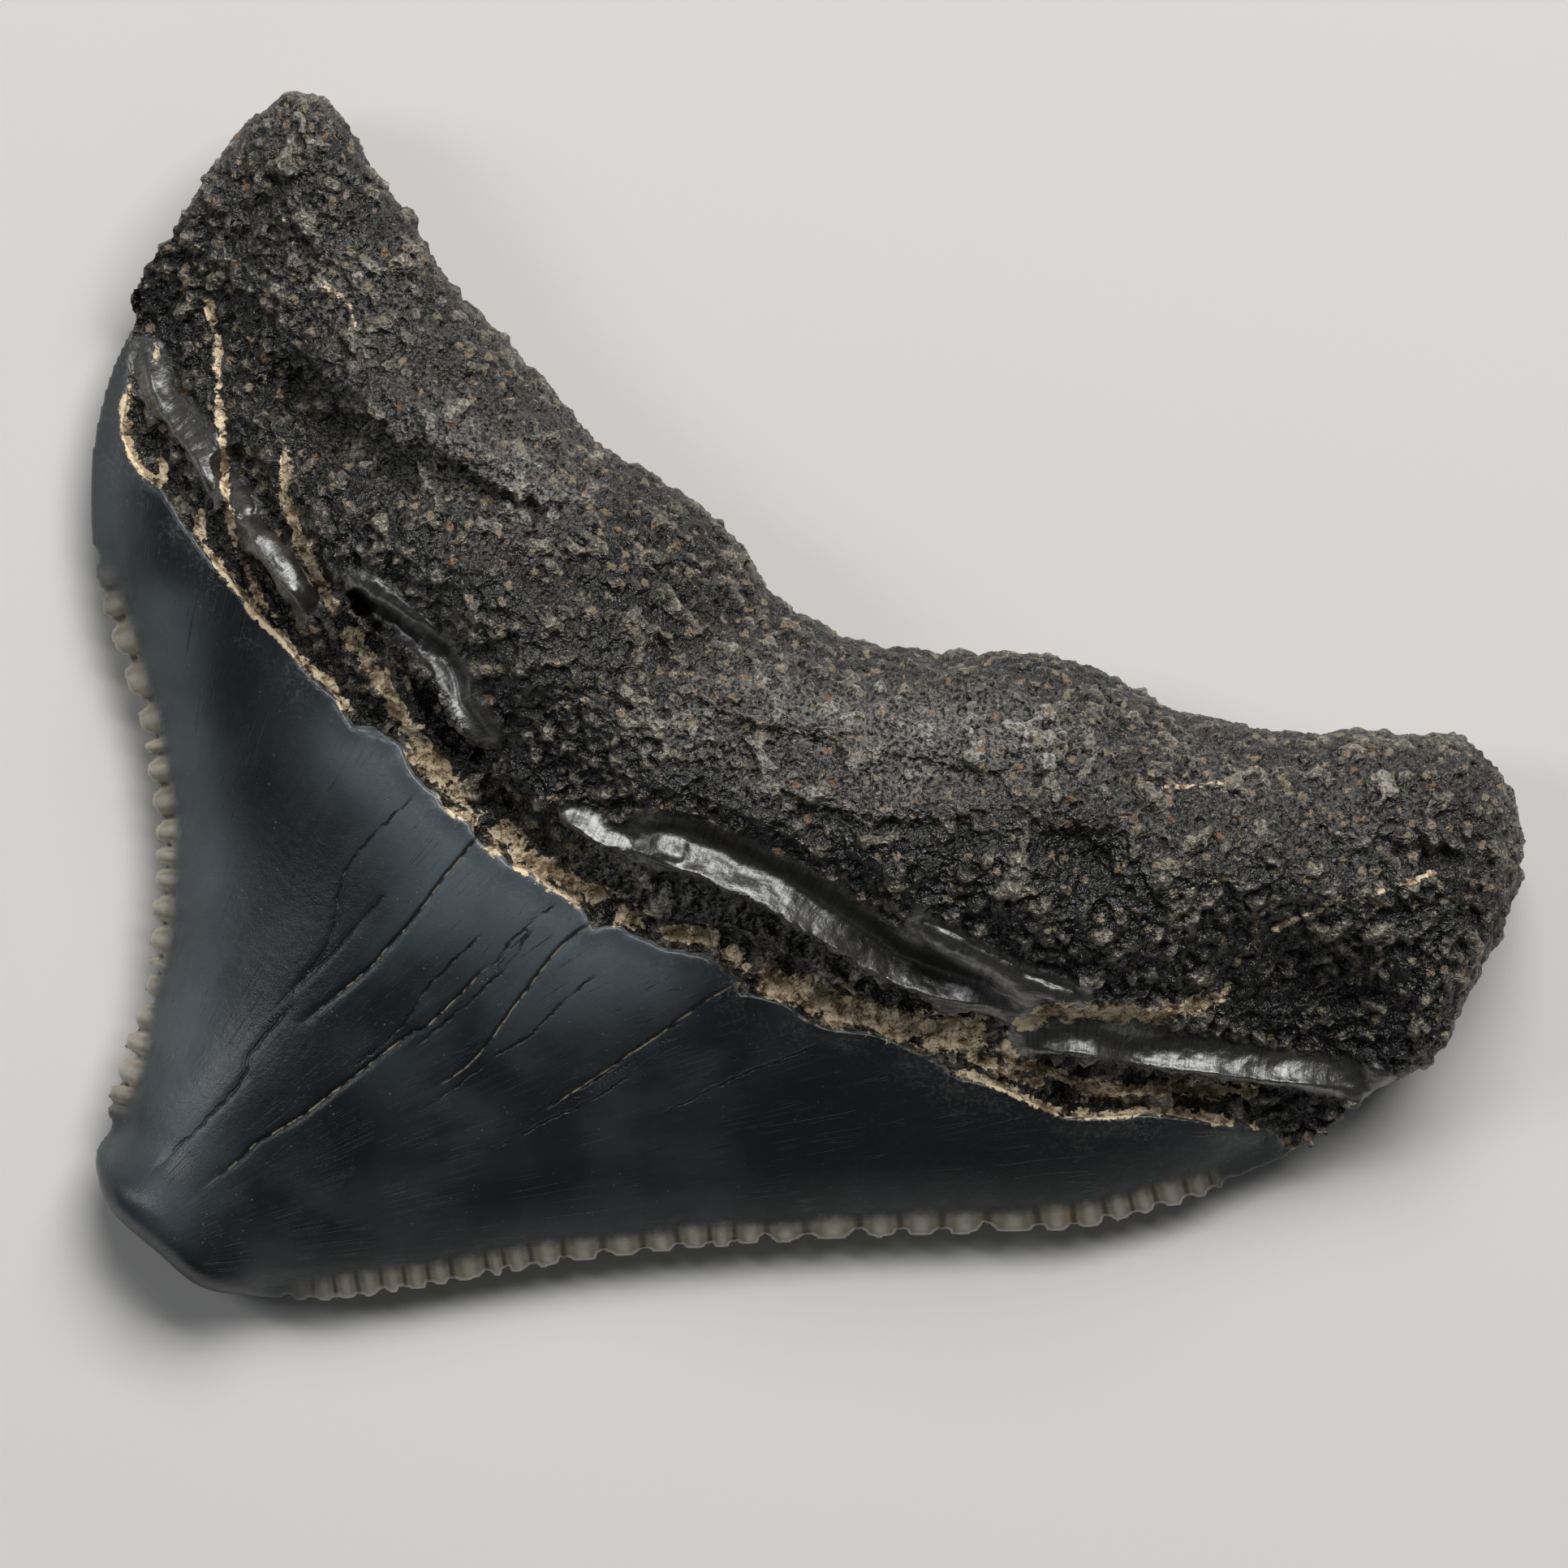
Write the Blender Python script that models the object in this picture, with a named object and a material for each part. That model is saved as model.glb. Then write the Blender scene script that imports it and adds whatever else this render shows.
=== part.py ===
"""A fossil megalodon tooth lying on its flat (lip side) face, with its full (tongue side) face up.

One closed solid: a serrated enamel crown with a broken tip, the dark band under the crown with
its ledge and trench, and a two-lobed root with a rough, bulging face. Millimetres are used
throughout and turned into metres when the mesh is written. +Z is up and +X runs from the crown's
worn cutting edge towards the blunt root lobe.
"""

import math

import bmesh
import bpy
import numpy as np
from mathutils import Vector, geometry, noise

MM = 0.001

# Heights above the table
CUTTING_EDGE_HEIGHT = 1.2
ROOT_RIM_HEIGHT = 3.0
LIP_FACE_SINK = 1.35  # how far the lip face drops from the cutting edge, in the limit
THIN_EDGE = 0.05  # each face stands at least this far off the edge's own height

# Crown and root, on the tongue side
CROWN_SLOPE = 0.62  # rise per millimetre next to a cutting edge
CROWN_CURVE = 0.062  # how much faster the crown rises towards its middle
ROOT_RISE = 6.6
ROOT_RISE_LENGTH = 6.5
ROOT_RIM_RADIUS = 1.5
ROOT_RIM_SHOULDER = 1.9
LIP_RIM_RADIUS = 2.2
TIP_RADIUS = 0.8
TIP_FULLNESS = 0.45  # the crown is thicker for its width near the tip
TIP_LENGTH = 7
BULGE_HEIGHT = 1.9
BULGE_RADIUS = 5.5

# The border between crown and root
ENAMEL_STEP = 0.3
LEDGE_STEP = 0.45
LEDGE_LIP = 0.35
GROOVE_DEPTH = 0.42  # the groove that runs behind the ledge's lip
GROOVE_WIDTH = 0.6
GROOVE_BACK = 1.0
TRENCH_DEPTH = 0.5
TRENCH_WIDTH = 0.45
BAR_HEIGHT = 0.5
BAR_WIDTH = 0.55
LIP_ENAMEL_STEP = 0.14

# Serrations
NOTCH_DEPTH = 0.28
BEAD_ROUNDNESS = 0.62
BEAD_RELIEF = 0.13
BEAD_RINGS = (0.28, 0.62, 1.05)  # how far in each ring of points runs
BEAD_FADE = (1, 0.85, 0.15)  # what is left of the relief on each ring

# Spacing of the mesh
ROOT_SPACING = 0.85
TIP_SPACING = 0.4
PLAIN_EDGE_SPACING = 0.45
ROOT_FACE_SPACING = 0.72
CROWN_FACE_SPACING = 1.15
LIP_SPACING = 1.8

# The outline seen from above, clockwise from the notch between the crown and the pointed lobe
ROOT_MARGIN = [
    (-19.8, 10.9), (-20, 11.5), (-19.5, 12.6), (-18.4, 14), (-17.8, 15), (-16.9, 16.3), (-15.9, 17.3),
    (-15.1, 17.8), (-14, 17.4), (-13.4, 16.8), (-12.9, 15.9), (-12.3, 15), (-11.5, 14.1), (-11, 13.1),
    (-10.3, 12), (-9.4, 11.1), (-8.1, 9.7), (-6.9, 8.5), (-6.1, 7.5), (-5, 6.8), (-3.9, 6.2),
    (-2.7, 5.3), (-1.7, 4.4), (-1.4, 3.6), (-0.8, 2.8), (0.2, 2.3), (1.4, 1.6), (2.5, 1.5), (4.1, 1.3),
    (5.8, 1.3), (7.3, 1.2), (8.5, 0.9), (9.7, 0.2), (10.6, -0.3), (12.3, -0.6), (13.5, -1), (15.6, -1),
    (18.5, -1.1), (19.7, -1.5), (20.5, -2.3), (21.1, -3.8), (21.1, -5), (20.7, -6.5), (19.9, -8),
    (19.4, -9), (19, -10.2), (18.1, -11), (17.1, -11.4), (16.2, -12.1), (15.2, -13), (14.3, -13.6),
]
LOWER_EDGE = [
    (14.3, -13.6), (13.2, -14), (11.8, -14.7), (9.7, -15.3), (7.9, -15.7), (5.4, -15.8), (2.8, -15.9),
    (0.2, -16), (-2.2, -16.2), (-4.6, -16.4), (-7, -16.7), (-9.4, -17.1), (-11.7, -17.5),
    (-13.9, -17.8), (-15.5, -17.8),
]
BROKEN_TIP = [
    (-15.5, -17.8), (-16.4, -17.7), (-17.4, -17.7), (-18.2, -17.3), (-19, -16.5), (-19.9, -15.8),
    (-20.7, -15), (-21, -14), (-20.9, -13.4), (-20.6, -12.9),
]
UPPER_EDGE = [
    (-20.6, -12.9), (-20.5, -11.8), (-20.1, -10.8), (-19.9, -10), (-19.5, -9.1), (-19.3, -8),
    (-19.2, -6.5), (-19.1, -5.1), (-19.1, -3.7), (-19.3, -2.5), (-19.4, -1.4), (-19.7, -0.3),
    (-20.1, 0.9), (-20.5, 2), (-20.8, 3.1), (-21, 4.4), (-21.1, 5.7), (-21, 7.2), (-20.7, 8.7),
    (-20.3, 9.9), (-19.8, 10.9),
]

# Notches between the serrations: x along the lower edge, y along the upper edge
LOWER_NOTCHES = [
    12.4, 12, 11.3, 10.4, 9.7, 8.9, 7.9, 6.9, 5.3, 4, 2.8, 1.6, 0, -1.2, -2.1, -2.8, -3.7, -4.7, -5.9,
    -7.1, -8, -8.8, -9.3, -10.4, -11, -11.8, -12.4, -13.1, -13.8, -14.5, -15.2,
]
UPPER_NOTCHES = [
    -12.5, -12, -11.3, -10.5, -9.8, -8.9, -8, -7.6, -6.7, -5.8, -5, -4.4, -3.7, -2.7, -1.8, -1.3,
    -0.3, 1, 2.1, 3, 4,
]

# Lines on the tongue face, from the pointed lobe's end to the blunt lobe's end
ENAMEL_LINE = [
    (-19.8, 10.9), (-19.7, 9.9), (-19.9, 9), (-20, 8), (-19.8, 6.9), (-19.3, 6.2), (-18.8, 5.6),
    (-18.1, 4.7), (-17.6, 4.1), (-16.9, 3.3), (-16.2, 2.6), (-15.5, 2), (-15, 1.5), (-14.4, 0.5),
    (-13.6, -0.3), (-13.2, -1), (-12.6, -1), (-12, -1.3), (-11.7, -2), (-11.2, -2.6), (-10.7, -3.2),
    (-9.8, -3.7), (-9.4, -4.4), (-8.6, -5), (-7.9, -5.3), (-6.9, -5.9), (-6.4, -6.5), (-5.6, -6.6),
    (-4.8, -7.1), (-4.2, -7.4), (-3, -7.7), (-2.4, -8.2), (-1.9, -8.7), (-0.7, -9), (0.2, -9.5),
    (1.2, -9.8), (2.3, -10), (3.5, -10.6), (4.5, -11.2), (6, -11.7), (7.4, -12.4), (9.6, -12.4),
    (11, -12.5), (12.5, -12.6), (13.9, -13), (14.3, -13.6),
]
TRENCH = [
    (-17.4, 4.9), (-16.5, 3.6), (-15.5, 2.3), (-14.5, 1.3), (-13.6, 0.3), (-12.7, -0.6), (-11.7, -1.2),
    (-10.7, -2.2), (-9.4, -3.4), (-8.2, -4.5), (-7, -5.3), (-5.5, -6), (-4.4, -6.9), (-2.9, -7),
    (-2, -7.7), (-0.5, -8.5), (1.1, -9), (2.8, -9.7), (4.9, -10), (6.1, -10.3), (8, -11.2),
    (9.7, -11.5), (11.6, -11.6), (13.5, -11.8),
]
LEDGE = [
    (-19.4, 10.4), (-18.9, 8.7), (-18, 7.6), (-17.4, 6.3), (-16.5, 5.1), (-15.4, 4), (-14.4, 2.8),
    (-13.2, 2.2), (-11.7, 1.2), (-10.7, -0.1), (-9.6, -1.4), (-8.4, -2.6), (-7.2, -3.4), (-5.8, -4.5),
    (-4.6, -4.9), (-3.4, -5.1), (-1.5, -6), (0.6, -7), (2.8, -8), (4.5, -8.7), (5.9, -9.1),
]
LOWER_BAR = [(6.4, -10.2), (7.3, -9.8), (8.7, -10), (10.6, -10.5), (12.5, -10.8), (14.5, -11.1), (16.6, -11.4)]
BULGE_CREST = [(-9, 3), (-3, -1.5), (3, -4.2), (9, -5.5)]

# Where the enamel ends on the lip face, seen from above
LIP_ENAMEL_LINE = [
    (-19.8, 10.9), (-18.2, 8), (-15.8, 5.1), (-12.9, 2.6), (-10.3, 1.1), (-7.5, -0.8), (-4.6, -2.8),
    (-1.7, -4.6), (1.6, -6.3), (4.9, -8), (8, -9.7), (10.9, -11.6), (13, -12.8), (14.3, -13.6),
]

# Ridges (+) and hollows (-) of the root's tongue face: points, half width and height
ROOT_RELIEF = [
    ([(-15.3, 9.2), (-13.4, 7.5), (-11.3, 6.1)], 0.8, -0.7),
    ([(-14.6, 10.1), (-12.2, 8.9), (-10.3, 7.8), (-8.4, 6.7), (-7.2, 5.9)], 0.6, 0.35),
    ([(-2.7, 0.4), (-0.8, 0.1)], 0.8, 0.3),
    ([(0.2, -1), (3.5, -1.2), (7.3, -1.5)], 0.6, 0.3),
    ([(1.4, -2.5), (6.1, -3)], 0.6, 0.25),
    ([(7.8, -4.6), (8.6, -4.8)], 0.8, -0.7),
    ([(16.9, -4.6), (19, -4.9)], 0.45, -0.4),
    ([(-9.9, -1.6), (-9, -1.7)], 0.4, -0.6),
    ([(-8.6, -3), (-8.4, -3.1)], 0.35, -0.45),
    ([(-16.6, 4.8), (-16.5, 4.6)], 0.35, -0.4),
    ([(-17.6, 12), (-16.9, 9.2), (-16.4, 6.6), (-15.6, 4.2)], 0.35, -0.3),
    ([(-15.9, 5), (-15.2, 4.1), (-14.6, 3.3)], 0.4, 0.3),
    ([(9.5, -2.3), (11, -2.4), (12.8, -2.6)], 0.35, -0.25),
    ([(14.2, -7.8), (16.6, -9.4)], 1.3, -0.45),
    ([(-11.2, 4.2), (-8.6, 2.4), (-6.4, 0.6)], 0.9, 0.2),
    ([(-7.6, -0.8), (-6.2, -2.2)], 0.7, -0.3),
    ([(12, -5.2), (14.5, -5.6), (16.2, -6.6)], 0.7, 0.3),
    ([(-13.6, 15.4), (-14.6, 13.2), (-15.2, 11.6)], 0.7, 0.25),
]

# Flat spots of the lip face that touch the table: centre, radius and how far the face is lowered
RESTS = [((-9.5, -9.5), 4.2, 0.55), ((-14.2, 12), 2.8, 0.9), ((16, -6), 3.4, 0.9)]

TOOTH_COLOUR = (0.035, 0.04, 0.045, 1)
TOOTH_ROUGHNESS = 0.3


def smooth_path(points, step):
    """A smooth curve through the points, given as points about one step apart."""
    p = np.array(points, float)
    p = np.vstack([2 * p[0] - p[1], p, 2 * p[-1] - p[-2]])
    dense = []
    for a, b, c, d in zip(p, p[1:], p[2:], p[3:]):
        for t in np.arange(0, 1, 0.125):
            dense.append(0.5 * (2 * b + (c - a) * t + (2 * a - 5 * b + 4 * c - d) * t**2
                                + (3 * b - a - 3 * c + d) * t**3))
    dense = np.array(dense + [p[-2]])
    length = np.append(0, np.cumsum(np.hypot(*np.diff(dense, axis=0).T)))
    at = np.linspace(0, length[-1], max(2, round(length[-1] / step) + 1))
    return np.column_stack([np.interp(at, length, dense[:, i]) for i in (0, 1)])


def nearest(xy, path):
    """Distance of each point to a path, its place along it (0 to 1), and its side (+1 is left)."""
    start, along = path[:-1], np.diff(path, axis=0)
    t = ((xy[:, None] - start) * along).sum(2) / (along**2).sum(1)
    gap = xy[:, None] - start - np.clip(t, 0, 1)[..., None] * along
    reach = np.hypot(gap[..., 0], gap[..., 1])
    best = reach.argmin(1)
    row = np.arange(len(xy))
    gap, run = gap[row, best], along[best]
    side = np.where(run[:, 0] * gap[:, 1] - run[:, 1] * gap[:, 0] < 0, -1, 1)
    return reach[row, best], (best + np.clip(t[row, best], 0, 1)) / len(start), side


def inside(xy, loop):
    """True for each point within a closed loop."""
    x, y = xy[:, :1], xy[:, 1:]
    ax, ay = loop[:, 0], loop[:, 1]
    bx, by = np.roll(ax, -1), np.roll(ay, -1)
    crosses = (ay > y) != (by > y)
    level = np.where(by == ay, 1, by - ay)
    return (crosses & (x < ax + (bx - ax) * (y - ay) / level)).sum(1) % 2 == 1


def smooth_step(low, high, value):
    t = np.clip((value - low) / (high - low), 0, 1)
    return t * t * (3 - 2 * t)


def soft_min(a, b):
    """The lower of two heights, blended where they are close, and 0 where either is 0."""
    a, b = np.maximum(a, 1e-6), np.maximum(b, 1e-6)
    return (a**-4.0 + b**-4.0) ** -0.25


def rounded(distance, radius):
    """0 on the rim and 1 from one radius inwards, along a quarter circle."""
    return np.sqrt(1 - (1 - np.clip(distance / radius, 0, 1)) ** 2)


def lumps(xy, size, seed):
    """Smooth uneven ground between about -1 and 1."""
    return np.array([noise.noise(Vector((x / size, y / size, seed))) for x, y in xy])


root_margin = smooth_path(ROOT_MARGIN, 0.25)
lower_edge = smooth_path(LOWER_EDGE, 0.25)
broken_tip = smooth_path(BROKEN_TIP, 0.25)
upper_edge = smooth_path(UPPER_EDGE, 0.25)
enamel_line = smooth_path(ENAMEL_LINE, 0.3)
trench = smooth_path(TRENCH, 0.3)
ledge = smooth_path(LEDGE, 0.3)
lower_bar = smooth_path(LOWER_BAR, 0.3)
bulge_crest = smooth_path(BULGE_CREST, 0.5)
lip_enamel_line = smooth_path(LIP_ENAMEL_LINE, 0.3)


class Fields:
    """Distances that both faces are shaped from, for a set of points."""

    def __init__(self, xy):
        self.xy = xy
        self.upper = nearest(xy, upper_edge)[0]
        self.lower = nearest(xy, lower_edge)[0]
        self.root = nearest(xy, root_margin)[0]
        self.tip = nearest(xy, broken_tip)[0]
        # Across the crown this is a parabola that is 0 on both cutting edges.
        self.width = self.upper * self.lower / (self.upper + self.lower)
        dome = CROWN_SLOPE * self.width + CROWN_CURVE * self.width**2
        dome *= 1 + TIP_FULLNESS * np.exp(-((self.tip / TIP_LENGTH) ** 2))
        self.dome = dome * rounded(self.tip, TIP_RADIUS)
        self.rim = soft_min(self.dome, np.full(len(xy), ROOT_RIM_HEIGHT - CUTTING_EDGE_HEIGHT))


def edge_heights(xy):
    """Height of the outline itself, where the two faces meet."""
    return CUTTING_EDGE_HEIGHT + Fields(xy).rim


def tongue_heights(xy):
    """The full face, which lies uppermost."""
    f = Fields(xy)
    root = (ROOT_RIM_HEIGHT - CUTTING_EDGE_HEIGHT + ROOT_RIM_SHOULDER * rounded(f.root, ROOT_RIM_RADIUS)
            + ROOT_RISE * (1 - np.exp(-f.root / ROOT_RISE_LENGTH)))
    z = CUTTING_EDGE_HEIGHT + soft_min(f.dome, root)
    near_rim = smooth_step(0, 1.8, np.minimum(f.root, np.minimum(f.upper, f.lower)))

    ledge_gap, ledge_at, ledge_side = nearest(xy, ledge)
    ledge_gap = ledge_gap * ledge_side
    middle = smooth_step(0, 0.35, ledge_at) * (1 - smooth_step(0.9, 1, ledge_at))
    strength = (0.35 + 0.65 * middle) * (1 - smooth_step(0.92, 1, ledge_at))
    bulge = BULGE_HEIGHT * np.exp(-(nearest(xy, bulge_crest)[0] / BULGE_RADIUS) ** 2)
    z += near_rim * bulge * (0.45 + 0.55 * smooth_step(-1, 2.5, ledge_gap))
    z += near_rim * strength * LEDGE_STEP * (smooth_step(-0.35, 0.15, ledge_gap) - smooth_step(0.5, 6, ledge_gap))
    z += near_rim * strength * LEDGE_LIP * np.exp(-(ledge_gap / 0.35) ** 2)
    behind_lip = smooth_step(0.25, 0.4, ledge_at) * (1 - smooth_step(0.85, 0.97, ledge_at))
    z -= near_rim * behind_lip * GROOVE_DEPTH * np.exp(-((ledge_gap - GROOVE_BACK) / GROOVE_WIDTH) ** 2)

    trench_gap, trench_at, _ = nearest(xy, trench)
    ends = smooth_step(0, 0.08, trench_at) * (1 - 0.4 * smooth_step(0.6, 1, trench_at))
    z -= near_rim * ends * TRENCH_DEPTH * np.exp(-(trench_gap / TRENCH_WIDTH) ** 2)
    z += near_rim * BAR_HEIGHT * np.exp(-(nearest(xy, lower_bar)[0] / BAR_WIDTH) ** 2)

    line_gap, _, line_side = nearest(xy, enamel_line)
    line_gap = -line_gap * line_side
    z += near_rim * ENAMEL_STEP * smooth_step(-0.12, 0.12, line_gap)

    for points, half_width, height in ROOT_RELIEF:
        gap = nearest(xy, smooth_path(points, 0.4))[0]
        z += near_rim * height * np.exp(-(gap / half_width) ** 2)
    rough = 1 - smooth_step(-0.6, 0.1, line_gap)
    z += near_rim * rough * (0.2 * lumps(xy, 2.6, 3.1) + 0.16 * lumps(xy, 1.2, 7.7))
    z += near_rim * (1 - rough) * 0.05 * lumps(xy, 5, 1.3)
    return z


def lip_heights(xy):
    """The flatter face, which lies on the table at three flat spots."""
    f = Fields(xy)
    shoulder = rounded(f.root, LIP_RIM_RADIUS)
    sink = LIP_FACE_SINK * (1 - np.exp(-0.36 * f.width / LIP_FACE_SINK))
    sink = soft_min(sink, 1.4 * shoulder) * rounded(f.tip, TIP_RADIUS)
    z = CUTTING_EDGE_HEIGHT + f.rim * (1 - shoulder) - sink
    near_rim = smooth_step(0, 2, np.minimum(f.root, np.minimum(f.upper, f.lower)))
    line_gap, _, line_side = nearest(xy, lip_enamel_line)
    z += near_rim * LIP_ENAMEL_STEP * smooth_step(-0.1, 0.1, line_gap * line_side)
    z += near_rim * 0.07 * lumps(xy, 4.5, 5.2)
    for centre, radius, drop in RESTS:
        gap = np.hypot(*(xy - centre).T)
        z -= near_rim * drop * (1 - smooth_step(0.35, 1, gap / radius))
    return np.maximum(z, 0)


def section(path, places):
    """Points of a path at the given lengths along it, and the direction into the tooth there."""
    length = np.append(0, np.cumsum(np.hypot(*np.diff(path, axis=0).T)))
    point = np.column_stack([np.interp(places, length, path[:, i]) for i in (0, 1)])
    run = np.gradient(path, axis=0)
    run = np.column_stack([np.interp(places, length, run[:, i]) for i in (0, 1)])
    inward = np.column_stack([run[:, 1], -run[:, 0]])
    return point, inward / np.hypot(*inward.T)[:, None]


def even_places(path, spacing):
    length = np.hypot(*np.diff(path, axis=0).T).sum()
    return np.linspace(0, length, max(2, round(length / spacing) + 1))[:-1]


def serrated_places(path, axis, notches):
    """Lengths along a cutting edge, and how far in (+1) or out (-1) the edge runs there.

    Each serration is a barrel between two notches, with a point at either shoulder and one at
    its crown. The unworn ends of the edge stay plain.
    """
    length = np.append(0, np.cumsum(np.hypot(*np.diff(path, axis=0).T)))
    order = 1 if path[-1, axis] > path[0, axis] else -1
    at = np.interp(order * np.array(notches), order * path[:, axis], length)
    start = np.linspace(0, at[0], max(2, round(at[0] / PLAIN_EDGE_SPACING) + 1))[:-1]
    finish = np.linspace(at[-1], length[-1], max(2, round((length[-1] - at[-1]) / PLAIN_EDGE_SPACING) + 1))
    places, depths = list(start), [0.0] * len(start)
    for i, (a, b) in enumerate(zip(at, at[1:])):
        fade = min(1, 0.45 + 0.3 * i, 0.45 + 0.3 * (len(at) - 2 - i))
        deep = fade * (1 + 0.3 * math.sin(2.4 * i + 1))
        for t in (0, 0.2, 0.5, 0.8):
            places.append(a + t * (b - a))
            depths.append(deep * (1 - 1.35 * math.sin(math.pi * t) ** BEAD_ROUNDNESS))
    places += list(finish[:-1])
    depths += [0.5] + [0.0] * (len(finish) - 2)
    return np.array(places), np.array(depths)


def build_rings():
    """The outline, and the points of both faces that follow it inwards.

    Returns the outline as xy, then lists of (xy, height offset) for the tongue and the lip face.
    """
    outline, tongue, lip = [], [], []
    for path, spacing, tongue_rings, lip_rings in (
        (root_margin, ROOT_SPACING, (0.16, 0.6, 1.4), (0.25, 0.9, 2.0)),
        (lower_edge, 0, BEAD_RINGS, BEAD_RINGS),
        (broken_tip, TIP_SPACING, (0.12, 0.4, 0.85), (0.12, 0.4, 0.85)),
        (upper_edge, 0, BEAD_RINGS, BEAD_RINGS),
    ):
        if spacing:
            places = even_places(path, spacing)
            depths = np.zeros(len(places))
        elif path is lower_edge:
            places, depths = serrated_places(path, 0, LOWER_NOTCHES)
        else:
            places, depths = serrated_places(path, 1, UPPER_NOTCHES)
        point, inward = section(path, places)
        outline.append(point + inward * (NOTCH_DEPTH * depths)[:, None])
        for rings, found, sign in ((tongue_rings, tongue, 1), (lip_rings, lip, -1)):
            for i, offset in enumerate(rings):
                relief = -sign * BEAD_RELIEF * depths * BEAD_FADE[i]
                found += list(zip(point + inward * offset, relief))
    return np.vstack(outline), tongue, lip


def beside(path, offset, spacing):
    """Points along a path, moved sideways off it by an offset (+ is to its right)."""
    point, inward = section(path, even_places(path, spacing))
    return [(p, 0.0) for p in point + inward * offset]


def grid(spacing, seed):
    """Points of a slightly uneven triangular grid over the whole tooth."""
    found = []
    for row in range(-40, 41):
        for column in range(-50, 51):
            x = (column + 0.5 * (row % 2)) * spacing
            y = row * spacing * 0.866
            spot = Vector((x, y, seed))
            found.append((np.array([x + 0.3 * spacing * noise.noise(spot * 3.7),
                                    y + 0.3 * spacing * noise.noise(spot * 3.7 + Vector((9, 4, 2)))]), 0.0))
    return found


def thin_out(groups, outline):
    """Keeps the points inside the outline that stand clear of it and of each other.

    Earlier groups win, and each group has its own clearance.
    """
    kept, offsets = np.empty((0, 2)), []
    border = np.vstack([outline, outline[:1]])
    for points, clearance, off_border in groups:
        xy = np.array([p for p, _ in points])
        gap = nearest(xy, border)[0]
        usable = inside(xy, outline) & (gap > off_border)
        for i in np.nonzero(usable)[0]:
            if not len(kept) or np.hypot(*(kept - xy[i]).T).min() > clearance:
                kept = np.vstack([kept, xy[i]])
                offsets.append(points[i][1])
    return kept, np.array(offsets)


def sheet(outline, points, offsets):
    """Triangles over the outline's inside that use every point, as indexes into both together.

    A triangle with all its corners on the outline would lie in both faces at once, so such a
    triangle gets a point in its middle.
    """
    ring = list(range(len(outline)))
    while True:
        flat = np.vstack([outline, points])
        found = geometry.delaunay_2d_cdt([Vector(p) for p in flat], [], [ring[::-1]], 1, 1e-5)
        names = [origin[0] for origin in found[3]]
        faces = [[names[i] for i in face] for face in found[2]]
        shared = [face for face in faces if max(face) < len(outline)]
        if not shared:
            return points, offsets, faces
        points = np.vstack([points, [flat[face].mean(0) for face in shared]])
        offsets = np.append(offsets, np.zeros(len(shared)))


def build_tooth():
    outline, tongue_rings, lip_rings = build_rings()
    crown = np.vstack([enamel_line, lower_edge, broken_tip, upper_edge])
    tongue, tongue_offsets = thin_out([
        (tongue_rings, 0.13, 0.08),
        (beside(enamel_line, 0.14, 0.7) + beside(enamel_line, -0.16, 0.7), 0.2, 0.4),
        (beside(ledge, 0, 0.6) + beside(ledge, 0.4, 0.6) + beside(ledge, -GROOVE_BACK, 0.7), 0.28, 0.6),
        (beside(trench, 0, 0.6), 0.28, 0.6),
        (beside(lower_bar, 0, 0.7) + beside(lower_bar, 0.5, 0.7) + beside(lower_bar, -0.5, 0.7), 0.35, 0.6),
        *[(beside(smooth_path(p, 0.4), 0, 0.5), 0.4, 0.6) for p, _, _ in ROOT_RELIEF],
        ([p for p in grid(ROOT_FACE_SPACING, 0.5) if not inside(p[0][None], crown)[0]],
         0.7 * ROOT_FACE_SPACING, 0.7),
        (grid(CROWN_FACE_SPACING, 0.5), 0.7 * CROWN_FACE_SPACING, 0.9),
    ], outline)
    lip, lip_offsets = thin_out([
        (lip_rings, 0.13, 0.08),
        (beside(lip_enamel_line, 0.13, 1.1) + beside(lip_enamel_line, -0.13, 1.1), 0.2, 0.5),
        (grid(LIP_SPACING, 2.5), 0.65 * LIP_SPACING, 1.0),
    ], outline)

    tongue, tongue_offsets, tongue_faces = sheet(outline, tongue, tongue_offsets)
    lip, lip_offsets, lip_faces = sheet(outline, lip, lip_offsets)
    above = np.maximum(tongue_heights(tongue) + tongue_offsets, edge_heights(tongue) + THIN_EDGE)
    below = np.minimum(lip_heights(lip) + lip_offsets, edge_heights(lip) - THIN_EDGE)
    points = [*zip(*outline.T, edge_heights(outline)), *zip(*tongue.T, above)]
    points += zip(*lip.T, np.maximum(below, 0))

    middle = (outline.min(0) + outline.max(0)) / 2
    bm = bmesh.new()
    verts = [bm.verts.new(((x - middle[0]) * MM, (y - middle[1]) * MM, z * MM)) for x, y, z in points]
    for a, b, c in tongue_faces:
        bm.faces.new((verts[a], verts[b], verts[c]))
    jump = len(tongue)
    for face in lip_faces:
        a, b, c = [i if i < len(outline) else i + jump for i in face]
        bm.faces.new((verts[c], verts[b], verts[a]))
    bmesh.ops.recalc_face_normals(bm, faces=bm.faces)
    mesh = bpy.data.meshes.new("tooth")
    bm.to_mesh(mesh)
    bm.free()
    return mesh


def enamel_material():
    material = bpy.data.materials.new("fossil_tooth")
    material.use_nodes = True
    surface = material.node_tree.nodes["Principled BSDF"]
    surface.inputs["Base Color"].default_value = TOOTH_COLOUR
    surface.inputs["Roughness"].default_value = TOOTH_ROUGHNESS
    surface.inputs["Metallic"].default_value = 0
    return material


for existing in list(bpy.data.objects):
    bpy.data.objects.remove(existing, do_unlink=True)

tooth = bpy.data.objects.new("tooth", build_tooth())
tooth.data.materials.append(enamel_material())
tooth.data.shade_smooth()
tooth.data.set_sharp_from_angle(angle=math.radians(50))
bpy.context.scene.collection.objects.link(tooth)
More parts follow.
